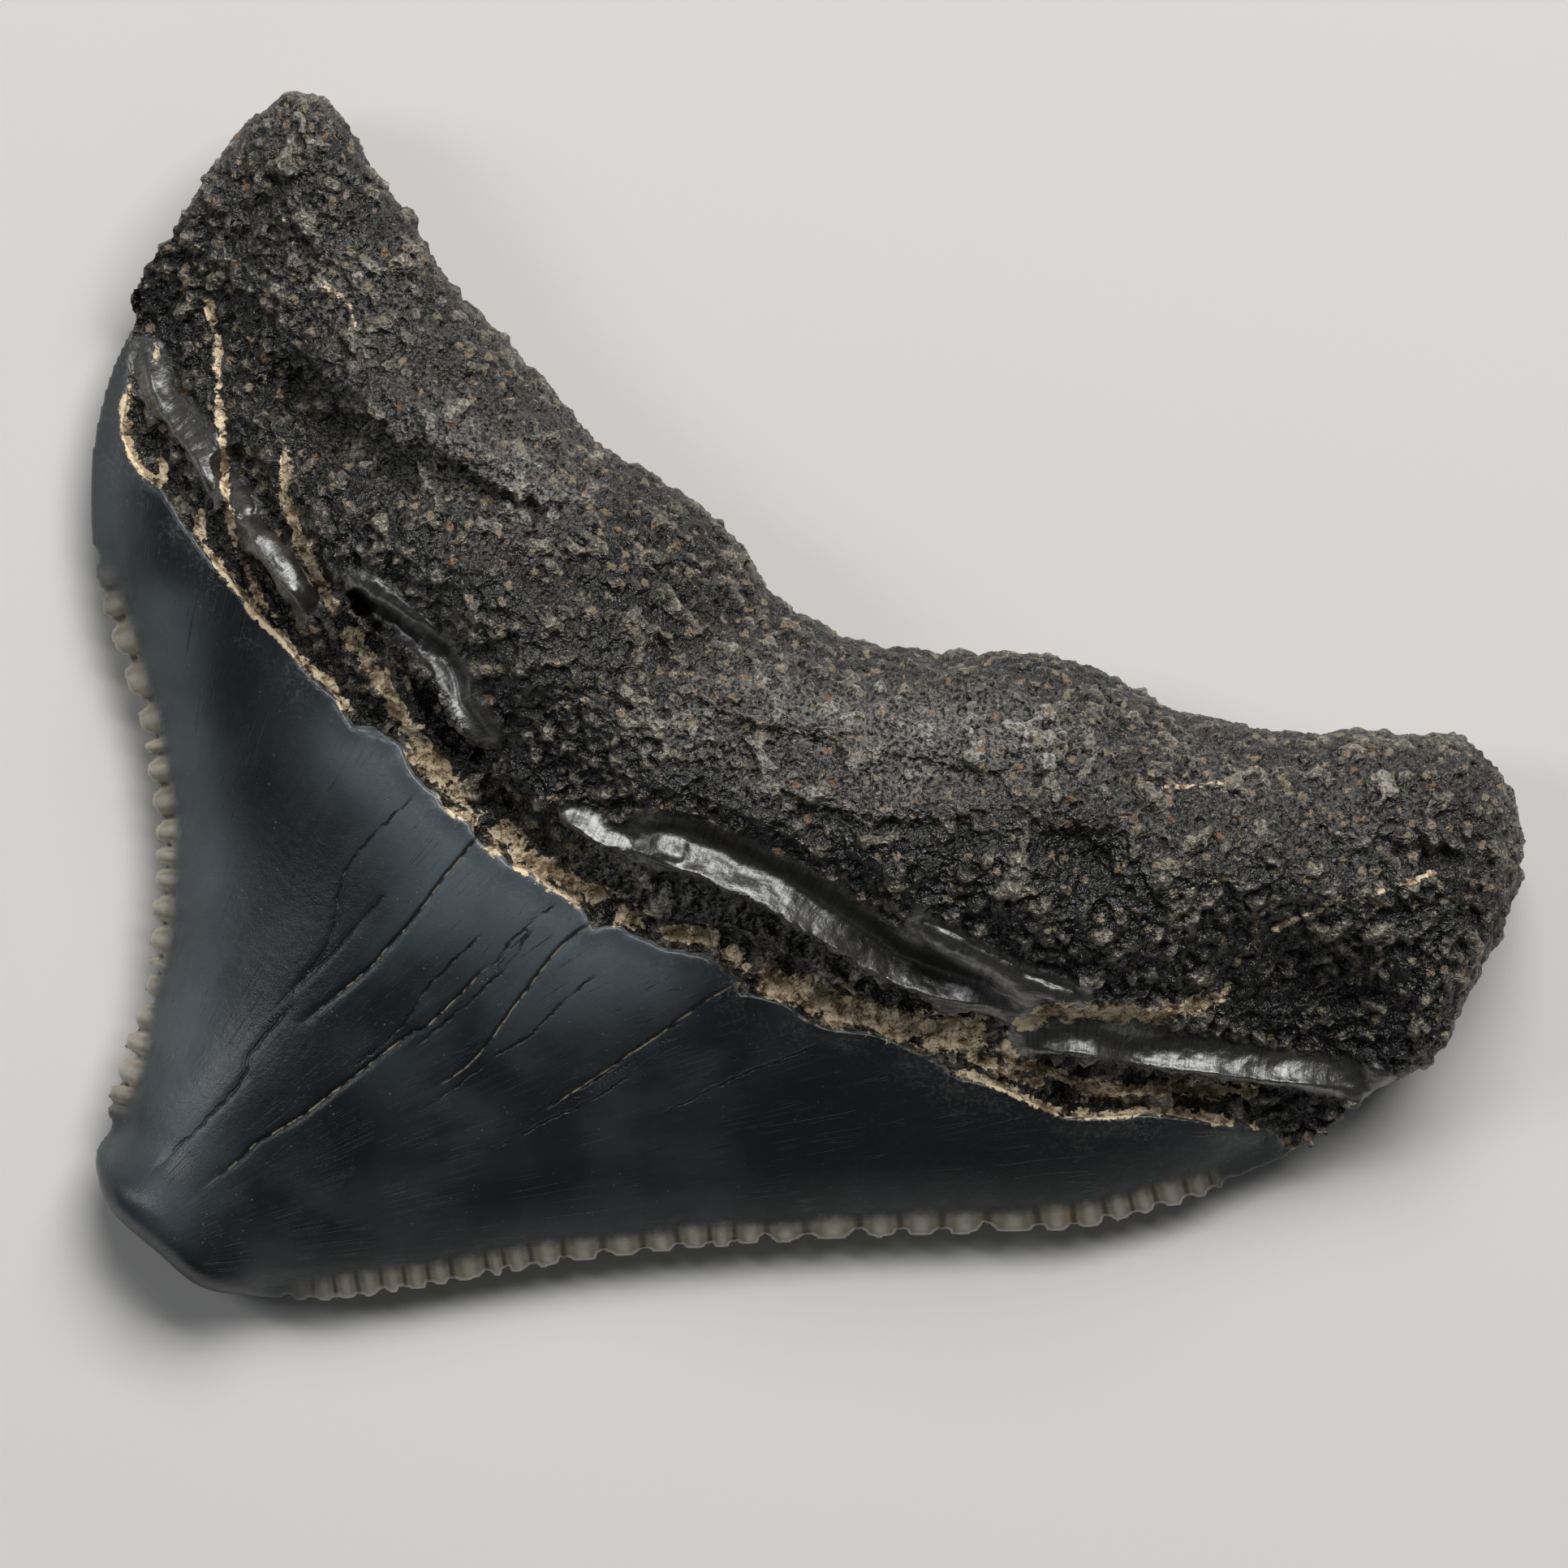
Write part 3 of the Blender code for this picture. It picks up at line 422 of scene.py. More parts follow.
# Hollows: points, depth, width towards the root and towards the crown
HOLLOWS = {
    "valley in the root": ([(-15.69, 9.63), (-14.86, 8.8), (-13.43, 7.49), (-12.24, 6.65),
        (-10.81, 5.89)], 0.75, 0.45, 0.5),
    "nutrient hole": ([(7.05, -3.82), (8, -4.54), (8.95, -5.13)], 0.35, 0.5, 0.5),
    "ledge in the blunt lobe": ([(16.57, -4.3), (17.76, -4.58), (19.19, -4.82)], 0.35, 0.25, 0.25),
    "low right slope": ([(13.48, -7.16), (15.38, -8.11), (17.76, -9.54)], 0.3, 0.8, 0.8),
    "beside the outer ridge": ([(-19.57, 8.56), (-19.33, 7.84), (-18.9, 7.01), (-18.38, 6.18),
        (-17.83, 5.46)], 0.25, 0.25, 0.3),
    "clay crack 1": (CLAY_CRACK_1, 0.16, 0.12, 0.12),
    "clay crack 2": (CLAY_CRACK_2 + [(-13.81, 2.44)], 0.25, 0.16, 0.16),
    "hole": ([(-16.66, 4.99), (-16.52, 4.7)], 0.5, 0.16, 0.16),
    "under the sausage": ([(-16.52, 4.22), (-16.09, 3.65), (-15.57, 2.99), (-14.95, 2.51)], 0.5, 0.2, 0.2),
    "upper trench": ([(-13.52, 2.61), (-13.12, 1.99), (-12.28, 1.39), (-11.47, 0.8), (-11.05, 0.18),
        (-10.81, -0.54), (-10.24, -1.2), (-9.38, -1.63)], 0.75, 0.12, 0.3),
    "middle pit": ([(-9.74, -1.56), (-9.26, -1.8), (-8.86, -1.92)], 0.5, 0.35, 0.35),
    "small pit": ([(-8.71, -2.75), (-8.47, -3.11)], 0.4, 0.25, 0.25),
    "under the middle lip": ([(-7, -3.78), (-6.52, -4.23), (-5.86, -4.63), (-4.86, -4.92)], 0.2, 0.08, 0.2),
    "under the long lip": ([(-4.62, -5.16), (-3.19, -5.49), (-2.28, -5.94), (-1.36, -6.37),
        (-0.43, -6.94), (0.5, -7.49), (1.41, -8.04), (2.31, -8.58), (3.24, -8.94), (4.14, -9.18),
        (5.5, -9.37)], 0.35, 0.08, 0.25),
    "under the shelf": ([(-7.57, -4.35), (-6.93, -5.44), (-5.93, -5.92), (-5.19, -6.44), (-4.55, -6.8),
        (-3.19, -6.92), (-1.83, -7.23), (-0.9, -7.58), (0.62, -8.47), (1.57, -9.06)], 0.3, 0.08, 0.22),
    "behind the lens": ([(6.1, -9.73), (7.05, -9.35), (8.48, -9.39), (9.67, -9.58), (10.86, -9.78),
        (12.05, -9.97)], 0.22, 0.2, 0.15),
    "under the lens": ([(6.14, -10.58), (7.05, -10.73), (8, -10.92), (8.95, -11.11), (10.38, -11.16),
        (12.05, -11.28), (13.72, -11.47)], 0.4, 0.12, 0.18),
    "between the rims": ([(4.43, -10.35), (5.62, -10.89), (6.41, -11.25), (7.6, -11.63), (9.14, -11.89),
        (10.53, -11.85), (12.05, -12.01)], 0.2, 0.18, 0.15),
}


# %% The brushes
def near_path(xy, points, reach, ragged):
    """The vertices close to a path: indices, distance, place, a rounded start and end, and its length."""
    path = smooth_path(points, FINE_STEP)
    gap, place = measure(xy, path, reach)
    near = np.nonzero(abs(gap) < reach)[0]
    wobble = ragged * np.array([noise.noise(Vector((x / 0.45, y / 0.45, 4))) for x, y in xy[near]])
    place = place[near]
    ends = np.sqrt(np.clip(6 * place * (1 - place), 0, 1))
    return near, gap[near] + wobble, place, ends, FINE_STEP * len(path)


def crest_height(z, gap, place, length):
    """How high the ground is under a path, as a smooth function of the place along it."""
    steps = max(4, round(length / 0.4))
    close = abs(gap) < 0.2
    bins = np.round(place[close] * steps).astype(int)
    count = np.bincount(bins, minlength=steps + 1)
    mean = np.bincount(bins, z[close], minlength=steps + 1) / np.maximum(count, 1)
    known = np.nonzero(count)[0]
    mean = np.interp(np.arange(steps + 1), known, mean[known])
    for _ in range(6):
        mean[1:-1] = (mean[:-2] + 2 * mean[1:-1] + mean[2:]) / 4
    return np.interp(place * steps, np.arange(steps + 1), mean)


def lay_lip(xy, z, top, points, lift, width, slope, cliff, ragged=0.05):
    """A crest with a gutter behind it, which curves up to the ground at its far side."""
    near, gap, place, ends, length = near_path(xy, points, width * 1.3, ragged)
    crest = crest_height(z[near], gap, place, length) + lift * ends
    far = crest_height(z[near], gap - width, place, length)
    wide = width * (0.4 + 0.6 * ends)
    across = np.clip(gap / wide, 0, 1)
    curve = np.maximum(far - crest + slope * wide, 0)
    facet = crest - slope * wide * across + curve * across**2.2
    weight = rise(-cliff - 0.03, -0.03, gap) * rise(1, 0.45, gap / wide) * rise(0.1, 0.95, ends) * top[near]
    z[near] += (facet - z[near]) * weight


def lay_swelling(xy, z, top, points, lift, width, lean, ragged=0.05):
    """A rounded ridge that lies on the ground, and leans towards the root."""
    near, gap, place, ends, length = near_path(xy, points, width * 1.5, ragged)
    across = gap / (width * (0.3 + 0.7 * ends))
    dome = np.sqrt(np.clip(1 - across**2, 0, 1)) * lift * ends
    z[near] += (dome - lean * width * across * rise(1.2, 0.6, abs(across)) * ends) * top[near]


def cut(xy, z, top, points, deep, root_width, crown_width, ragged=0.06):
    near, gap, _, ends, _ = near_path(xy, points, 3 * max(root_width, crown_width), ragged)
    z[near] -= deep * bell(gap, np.where(gap > 0, root_width, crown_width)) * np.maximum(ends, 0.15) * top[near]


CRACK_DEPTH = 0.06
LINE_DEPTH = 0.03
CRACK_WIDTH = 0.1
ENAMEL_STEP = 0.2


def sculpt(piece, field):
    """Lays the lips, cuts the hollows and sharpens the enamel's edge, on the upper face."""
    co = field["co"].copy()
    xy, z = co[:, :2], co[:, 2]
    top = field["top"] * rise(0.05, 0.9, field["edge"])
    for points, *shape in LIPS.values():
        lay_lip(xy, z, top, points, *shape)
    for points, lift, width, lean in SWELLINGS.values():
        lay_swelling(xy, z, top, points, lift, width, lean)
    for points, deep, root_width, crown_width in HOLLOWS.values():
        cut(xy, z, top, points, deep, root_width, crown_width)
    for points in CROWN_CRACKS:
        cut(xy, z, top, points, CRACK_DEPTH, CRACK_WIDTH, CRACK_WIDTH, 0.03)
    for points in DARK_LINES:
        cut(xy, z, top, points, LINE_DEPTH, CRACK_WIDTH, CRACK_WIDTH, 0.03)
    enamel = field["enamel"]
    z += ENAMEL_STEP * (rise(-0.07, 0.07, enamel) - rise(-0.5, 0.7, enamel)) * top
    print("strokes move the ground by", (z - field["co"][:, 2]).min().round(2), "to",
          (z - field["co"][:, 2]).max().round(2), "mm")
    move_to(piece, co)


# %% Sculpt the band
sculpt(tooth, field)

# %% [markdown]
# ## Serrations as barrels
# Each serration is a short barrel of enamel: round across, with a narrow groove to the next.
# The CAD edge has the barrels' places. What it lacks is the round swelling on both faces, so
# each vertex near a cutting edge moves along its normal, by how far it lies between two
# notches. Along the lower edge the barrels are worn flat, so their notches are filled up.

# %% Swell the beads
BEAD_SWELL = 0.22
BEAD_LENGTH = 0.68
NOTCH_FILL = 0.22

field = survey(tooth, field["up"])
phase = field["bead"] % 1
barrel = np.sqrt(np.clip(1 - (2 * phase - 1) ** 2, 0, 1)) - 0.7
fade = rise(BEAD_LENGTH * 1.25, BEAD_LENGTH * 0.5, field["edge"]) * field["bead_depth"]
out = normals(tooth)
low = np.clip(-out[:, 1], 0, 1)
swell = BEAD_SWELL * barrel * (1 - 0.6 * low) + NOTCH_FILL * (0.3 - barrel) * low
co = field["co"] + out * (swell * fade)[:, None]
move_to(tooth, co)

# %% [markdown]
# ## Coal-like ground on the root
# The root was bone-like tissue full of fine canals, and its surface is pitted like coke.
# Displace modifiers with procedural textures do this: soft clouds for the uneven ground,
# hard-edged clouds for the creases, and fine clouds for grit. Their vertex group leaves out
# the enamel and holds back on the glazed ridges.

# %% Rock and glaze
GLAZE = [
    ([(-19.47, 10.18), (-19.05, 9.03), (-18.43, 8.27), (-17.76, 7.42), (-17.19, 6.18)], 0.55),
    ([(-17, 6.53), (-16.57, 5.89), (-16.24, 5.32)], 0.35),
    ([(-16.38, 4.99), (-15.45, 4.03), (-14.62, 2.84)], 0.55),
    ([(-13.05, 3.27), (-12.24, 2.65), (-11.4, 1.89), (-10.52, 0.94), (-9.95, -0.11), (-9.38, -1.01)], 0.52),
    ([(-6.9, -3.49), (-5.93, -3.97), (-4.95, -4.3)], 0.45),
    ([(-4.62, -4.16), (-3.19, -4.49), (-1.52, -5.16), (0.5, -6.25), (2.31, -7.44), (3.95, -8.11),
        (5.98, -8.78)], 0.85),
    ([(3.24, -6.63), (4.6, -7.35), (6.41, -8.3), (8, -8.78)], 0.42),
    ([(6.38, -10.01), (8, -9.97), (10.86, -10.44), (13.48, -10.8), (16.81, -11.44)], 0.6),
]


def glaze(field):
    """Where the ground is glazed, and millimetres along the ridge there, for its cross wrinkles."""
    found, along = np.zeros((2, len(field["co"])))
    for points, width in GLAZE:
        path = smooth_path(points, 0.2)
        gap, place = measure(field["co"][:, :2], path, width * 1.5)
        mask = rise(width * 1.15, width * 0.75, abs(gap))
        along = np.where(mask > found, place * 0.2 * len(path), along)
        found = np.maximum(found, mask)
    return found * field["top"], along


field = survey(tooth, field["up"])
glazed, wrinkles = glaze(field)
rocky = rise(0.05, -0.25, field["enamel"]) * (1 - 0.9 * glazed) * (0.6 + 0.4 * rise(0.1, 0.6, field["up"]))
group_from(tooth, "rock", rocky)


only(tooth)
ground = places(tooth)
for name, size, depth, kind, strength in (
    ("uneven ground", 1.4, 2, "SOFT_NOISE", 0.5),
    ("creases", 0.7, 2, "HARD_NOISE", 0.62),
    ("grit", 0.28, 1, "SOFT_NOISE", 0.28),
):
    clouds = bpy.data.textures.new(name, "CLOUDS")
    clouds.noise_scale, clouds.noise_depth, clouds.noise_type = size, depth, kind
    apply_modifier(tooth, "DISPLACE", texture=clouds, strength=strength, mid_level=0.5, texture_coords="LOCAL",
                   vertex_group="rock")
relief = ((places(tooth) - ground) * normals(tooth)).sum(1)
print("rock relief from", relief.min().round(2), "to", relief.max().round(2), "mm")

# %% Keep it on the table and inside the CAD tooth's height
HIGHEST = cad_box[1][2] * 1000 * 1.01
held = places(tooth)
held[:, 2] = np.clip(held[:, 2], 0, HIGHEST)
move_to(tooth, held)

# %% [markdown]
# ## What the colours need to know
# The materials can't measure distances to a line, so every vertex stores them as attributes:
# how far it is from the enamel's border and from the cutting edge, where it lies between two
# notches, and how much glaze, clay or painted glints it has.

# %% Clay and other marks
CLAY = [
    (CLAY_CRACK_1, 0.13, 0.95),
    (CLAY_CRACK_2 + [(-13.66, 2.22)], 0.2, 1),
    ([(-19.9, 9.18), (-20.05, 8.8), (-20.07, 8.2), (-19.95, 7.49), (-19.69, 6.89), (-19.28, 6.37),
        (-18.93, 6.25), (-18.88, 6.7), (-19.09, 7.42)], 0.12, 0.9),
    ([(-17.78, 5.8), (-17.81, 5.11), (-17.64, 4.49), (-17.28, 3.92), (-16.83, 3.39), (-16.36, 2.75),
        (-15.81, 2.13), (-15.36, 1.75), (-14.74, 0.99), (-14.09, 0.51), (-13.55, -0.2), (-13.16, -0.8)],
        0.15, 0.92),
    ([(-13.43, 2.13), (-13.07, 1.3), (-12.59, 0.7), (-12.19, 0.18), (-11.76, -0.49)], 0.3, 0.75),
    ([(-12.24, 0.22), (-11.76, -0.61), (-11.47, -1.08), (-11.28, -1.56), (-10.69, -2.16), (-10.09, -3.11),
        (-9.38, -3.82)], 0.4, 0.85),
    ([(-11.28, -1.56), (-11.05, -2.16), (-10.62, -2.75), (-9.97, -3.35)], 0.18, 0.6),
    ([(-9.38, -3.73), (-8.86, -4.25), (-8.31, -4.68), (-7.74, -4.97), (-7.24, -5.35), (-6.62, -5.63),
        (-5.81, -5.82)], 0.42, 1),
    ([(-5.57, -6.3), (-4.81, -6.75)], 0.3, 1),
    ([(-4.33, -6.92), (-3.78, -6.92), (-3.31, -6.97), (-2.43, -7.06)], 0.3, 1),
    ([(-2.28, -7.2), (-1.95, -7.75), (-1.71, -8.11)], 0.26, 0.95),
    ([(-1.64, -8.2), (-1.05, -8.35), (-0.43, -8.49), (0.14, -8.78), (0.86, -9.01), (1.57, -9.13),
        (2.53, -9.49), (3.48, -9.68), (4.43, -9.82), (5.62, -9.97)], 0.5, 1),
    ([(5.26, -9.92), (5.79, -10.25), (6.1, -10.63), (6.69, -10.87), (7.34, -11.01), (8.24, -11.39),
        (9.14, -11.49), (10.53, -11.47), (12.05, -11.54), (13.48, -11.63)], 0.22, 1),
    ([(5.86, -9.73), (6.38, -9.49), (6.93, -9.3), (7.79, -9.2), (8.48, -9.16), (9.91, -9.3),
        (10.62, -9.18), (11.57, -8.94), (12.34, -8.49)], 0.26, 1),
    ([(4.14, -10.87), (5.5, -11.35), (6.41, -11.73), (7.6, -12.16), (9.14, -12.25), (10.53, -12.16),
        (12.05, -12.42), (13.48, -12.63)], 0.14, 0.9),
    ([(-15.57, 14.51), (-15.21, 13.56), (-14.97, 13.08)], 0.1, 0.5),
    ([(-14.5, 12.49), (-14.26, 12.13), (-13.55, 11.65), (-13.31, 11.18), (-13.19, 10.46)], 0.12, 0.6),
    ([(13.36, -6.92), (14.43, -6.44), (15.62, -6.01), (16.81, -5.68), (17.76, -5.32), (18.6, -5.01)],
        0.09, 0.7),
    ([(9.43, -2.49), (10.62, -2.58), (11.81, -2.54), (12.76, -2.44)], 0.1, 0.5),
    ([(-19.33, 10.82), (-19.14, 10.34), (-19.07, 9.75)], 0.1, 0.5),
    ([(4.72, -10.49), (5.86, -10.92), (7.05, -11.35)], 0.2, 0.8),
    ([(10.62, -5.73), (12.05, -5.37)], 0.1, 0.4),
]


def clay(field):
    found = np.zeros(len(field["co"]))
    for points, width, strength in CLAY:
        gap, place = measure(field["co"][:, :2], smooth_path(points, FINE_STEP), width * 3)
        ends = rise(0, 0.08, place) * rise(0, 0.08, 1 - place)
        found = np.maximum(found, strength * bell(gap, width) * np.maximum(ends, 0.3))
    return found * field["top"]


def spots(field, listed):
    """Soft round or long marks: points, radius and strength."""
    found = np.zeros(len(field["co"]))
    for points, radius, strength in listed:
        gap, _ = measure(field["co"][:, :2], smooth_path(points, 0.3), radius * 3)
        found += strength * bell(gap, radius)
    return np.clip(found, -1, 1)


# Painted glints and painted light on the root: strokes where its colour is lightened as if lit, on the bulge's
# upper slopes, on the lobes, and on the shelf that lies in the long lip's shadow.
PAINTED_GLINT_STROKES = [
    ([(-6.52, -4.54), (-3.19, -5.78), (-0.81, -6.92), (1.57, -8.11)], 0.7, 1.3),
    ([(-16.52, 4.75), (-15.57, 3.8)], 0.8, 0.3),
    ([(-2.24, -0.01), (0.14, -0.49), (2.53, -0.97), (5.62, -1.44), (7.29, -1.68)], 1.5, 0.9),
    ([(-1.28, -2.39), (1.57, -2.99), (4.91, -2.87)], 1.0, 0.6),
    ([(-13.19, 8.08), (-11.28, 7.13), (-9.38, 6.42), (-7.24, 5.7)], 1.2, 0.6),
    ([(3.72, -0.01), (6.1, -0.25)], 0.9, 0.4),
    ([(-17, 13.56), (-15.33, 13.32), (-13.66, 12.13)], 1.3, 0.35),
    ([(-10.33, 3.32), (-7, 1.42), (-3.43, -0.97)], 1.6, 0.35),
    ([(-16.05, 15.94), (-14.14, 13.08), (-11.28, 9.75), (-8.43, 7.13)], 2.2, 0.4),
    ([(10.14, -2.39), (13.95, -3.11), (18.24, -3.35)], 2.4, 0.45),
]
SPECKS = [
    ([(-15.33, 17.37), (-16.52, 15.7), (-17.47, 14.27)], 3.5, 0.8),
    ([(-13.43, 17.13), (-11.28, 13.56), (-7.95, 9.27), (-4.62, 6.42), (-1.76, 4.27), (0.38, 2.13),
        (2.53, 1.42)], 2.0, 0.7),
    ([(7.29, 0.94), (13.48, -0.97), (19.19, -1.44), (20.62, -3.35), (20.38, -6.2), (19.19, -9.06)], 2.6,
        0.8),
    ([(-7, 2.61), (-4.62, 0.22), (-2.24, -0.97)], 3, 0.5),
    ([(13.48, -3.35), (16.81, -3.35)], 3, 0.4),
]
# Paler zones of the crown: beside the left cutting edge they are painted reflection of the light on the left;
# along the enamel's border, in the middle and at the tip they are paler tone.
PALE_TONE_AND_REFLECTION = [
    ([(-18.78, 2.37), (-18.07, -0.97), (-17.76, -3.35), (-17.71, -6.92), (-18.14, -9.54),
        (-18.38, -12.39)], 1.0, 0.6),
    ([(-13.19, -1.68), (-11.05, -3.58), (-9.14, -5.01), (-7, -6.44), (-4.62, -7.87)], 1.3, 0.8),
    ([(-20.57, 6.18), (-20.93, 3.8), (-20.69, 1.89)], 0.8, 0.4),
    ([(-19.86, -13.58), (-18.9, -14.78)], 1.3, 0.28),
    ([(-10.33, -6.2), (-8.43, -7.63), (-7, -8.11)], 1.5, 0.5),
]
# Darker zones of the crown: on its lower right they are painted shade, where the crown turns away from the
# light; in the middle they are darker tone.
DARK_TONE_AND_SHADE = [
    ([(-0.81, -12.87), (2.53, -13.11), (6.1, -13.35), (9.67, -13.82)], 1.8, 1),
    ([(-8.9, -14.3), (-7, -14.3)], 1.2, 0.5),
    ([(-14.86, -9.06), (-14.5, -10.97), (-13.19, -12.87)], 1.5, 0.9),
    ([(-16.52, 0.22), (-15.81, -3.35), (-14.38, -6.68)], 1.4, 0.6),
    ([(0.14, -11.2), (6.1, -12.39)], 1.5, 0.6),
]


def store(piece, name, values):
    attribute = piece.data.attributes.new(name, "FLOAT", "POINT")
    attribute.data.foreach_set("value", values.astype(np.float32))


field = survey(tooth, field["up"])
store(tooth, "enamel", np.clip(field["enamel"], -3, 3))
store(tooth, "edge", np.clip(field["edge"], 0, 5))
store(tooth, "bead", field["bead"])
store(tooth, "bead_depth", field["bead_depth"])
store(tooth, "glaze", glazed)
store(tooth, "wrinkles", wrinkles)
store(tooth, "clay", clay(field))
store(tooth, "relief", relief)
# How much painted light and painted glints the root's colour gets
store(tooth, "painted_glints", spots(field, PAINTED_GLINT_STROKES) * field["top"])
store(tooth, "specks", 0.35 + spots(field, SPECKS) * 0.65)
# pale holds paler tone and painted reflection, dark holds darker tone and painted shade
store(tooth, "pale", spots(field, PALE_TONE_AND_REFLECTION))
store(tooth, "dark", spots(field, DARK_TONE_AND_SHADE))


def line_marks(field, lines):
    """The distance from the nearest of some lines, and how far a line is there at all."""
    nearest, strength = np.full(len(field["co"]), 0.5), np.zeros(len(field["co"]))
    for points in lines:
        gap, place = measure(field["co"][:, :2], smooth_path(points, FINE_STEP), 0.6)
        better = abs(gap) < abs(nearest)
        nearest[better] = gap[better]
        strength[better] = (rise(0.5, 0.3, abs(gap)) * rise(0, 0.08, place) * rise(0, 0.25, 1 - place))[better]
    return nearest, strength * field["top"]


for name, lines in (("crack", CROWN_CRACKS), ("dark_line", DARK_LINES)):
    distance, strength = line_marks(field, lines)
    store(tooth, name, distance)
    store(tooth, name + "_near", strength)
print("attributes:", [a.name for a in tooth.data.attributes if not a.name.startswith(".")])

# %% [markdown]
# ## Materials from nodes
# A node graph is easier to read as a formula. The small class below adds nodes to a tree and
# joins them, so that a mask or a mix is one line. All patterns are in millimetres, from the
# object's own coordinates.

# %% A short way to write nodes
class Graph:
    """Adds nodes to a tree and joins them. Each method gives back an output socket."""

    def __init__(self, tree):
        self.tree = tree

    def add(self, kind, sockets=(), out=0, **settings):
        node = self.tree.nodes.new("ShaderNode" + kind)
        for key, value in settings.items():
            setattr(node, key, value)
        for key, value in dict(sockets).items():
            self.join(value, node.inputs[key])
        return node.outputs[out]

    def join(self, value, socket):
        if isinstance(value, bpy.types.NodeSocket):
            self.tree.links.new(value, socket)
        else:
            socket.default_value = value

    def math(self, operation, a, b=0.0, c=0.0):
        return self.add("Math", {0: a, 1: b, 2: c}, operation=operation)

    def times(self, a, b):
        return self.math("MULTIPLY", a, b)

    def attribute(self, name):
        return self.add("Attribute", out="Fac", attribute_name=name)

    def ramp(self, value, low, high, start=0.0, end=1.0):
        """start below low, end above high, and smooth between."""
        return self.add("MapRange", {"Value": value, "From Min": low, "From Max": high, "To Min": start,
                                     "To Max": end}, interpolation_type="SMOOTHSTEP")

    def mix(self, mask, a, b):
        """Colour a where the mask is 0 and colour b where it is 1."""
        a, b = [(*v, 1) if isinstance(v, tuple) else v for v in (a, b)]
        return self.add("Mix", {0: mask, 6: a, 7: b}, out=2, data_type="RGBA")

    def blend(self, mask, a, b):
        """Number a where the mask is 0 and number b where it is 1."""
        return self.add("Mix", {0: mask, 2: a, 3: b}, data_type="FLOAT")

    def noise(self, where, size, detail=2.0, rough=0.5):
        """Smooth noise around 0.5 with features of this size in millimetres."""
        return self.add("TexNoise", {"Vector": where, "Scale": 1 / size, "Detail": detail, "Roughness": rough})

    def cells(self, where, size, out="Distance"):
        """Voronoi cells of this size in millimetres: the distance from the middle, or a random colour."""
        return self.add("TexVoronoi", {"Vector": where, "Scale": 1 / size}, out=out)

    def millimetres(self):
        spot = self.add("TexCoord", out="Object")
        return self.add("VectorMath", {0: spot, "Scale": 1000.0}, operation="SCALE")


# %% [markdown]
# ## Clay that both materials share
# Pale clay sits in the cracks of the crown and of the root alike, so it is a node group: the
# mark says where clay may lie, noise breaks it up, and the group gives back a mask, a colour
# and a height.

# %% The clay group
CLAY_BROWN, CLAY_PALE = (0.26, 0.165, 0.08), (0.93, 0.76, 0.51)


def build_clay_group():
    group = bpy.data.node_groups.new("clay_in_cracks", "ShaderNodeTree")
    for name, kind in (("Where", "NodeSocketVector"), ("Mark", "NodeSocketFloat")):
        group.interface.new_socket(name, in_out="INPUT", socket_type=kind)
    for name, kind in (("Mask", "NodeSocketFloat"), ("Color", "NodeSocketColor"), ("Height", "NodeSocketFloat")):
        group.interface.new_socket(name, in_out="OUTPUT", socket_type=kind)
    g = Graph(group)
    given, out = group.nodes.new("NodeGroupInput"), group.nodes.new("NodeGroupOutput")
    spot, mark = given.outputs["Where"], given.outputs["Mark"]
    broken = g.math("MULTIPLY_ADD", g.noise(spot, 0.7, 2, 0.6), 2.4, g.math("SUBTRACT", mark, 2.05))
    broken = g.math("MULTIPLY_ADD", g.noise(spot, 0.2, 3, 0.7), 1.6, broken)
    mask = g.times(g.ramp(broken, 0.34, 0.5), g.ramp(mark, 0.08, 0.3))
    colour = g.mix(g.ramp(g.noise(spot, 0.4, 4, 0.7), 0.38, 0.56), CLAY_BROWN, CLAY_PALE)
    g.join(mask, out.inputs["Mask"])
    g.join(colour, out.inputs["Color"])
    g.join(g.times(g.noise(spot, 0.09, 2), g.times(mask, 0.03)), out.inputs["Height"])
    return group


def place_clay(g, group, spot, mark):
    node = g.tree.nodes.new("ShaderNodeGroup")
    node.node_tree = group
    g.join(spot, node.inputs["Where"])
    g.join(mark, node.inputs["Mark"])
    return node.outputs["Mask"], node.outputs["Color"], node.outputs["Height"]


clay_group = build_clay_group()

# %% [markdown]
# ## Enamel
# Shark enamel is glassy and a little see-through: dark slate where it is thick, paler and
# bluer near the cutting edges, and cream on the worn serrations. Beside the left cutting edge
# it is made paler still with painted reflection, and its lower right darker with painted
# shade. Fine dark hairs and a few long cracks fan out from the tip towards the root. The fan
# is a noise in polar coordinates around the tip, squeezed along the rays.

# %% Enamel material
TIP = (-21.5, -17.0, 0)
DEEP_SLATE, PALE_SLATE, EDGE_GREY = (0.005, 0.0072, 0.009), (0.13, 0.155, 0.172), (0.12, 0.13, 0.125)
HAIR, DUST, BORDER_HIGHLIGHT = (0.003, 0.0035, 0.004), (0.25, 0.26, 0.25), (0.3, 0.28, 0.25)
CREAM, GREY_CREAM, HONEY = (0.34, 0.28, 0.19), (0.19, 0.185, 0.155), (0.42, 0.25, 0.1)
BARREL_HIGHLIGHT, NOTCH_BROWN = (0.62, 0.58, 0.5), (0.04, 0.024, 0.012)
CRACK_BLACK, CRACK_TAN, LINE_BLACK = (0.003, 0.003, 0.003), (0.33, 0.27, 0.19), (0.002, 0.002, 0.002)


def start_material(name, specular, coat_roughness):
    material = bpy.data.materials.new(name)
    material.use_nodes = True
    shader = material.node_tree.nodes["Principled BSDF"]
    shader.inputs["Specular IOR Level"].default_value = specular
    shader.inputs["Coat Roughness"].default_value = coat_roughness
    shader.inputs["Coat IOR"].default_value = 1.8
    return material, Graph(material.node_tree), shader


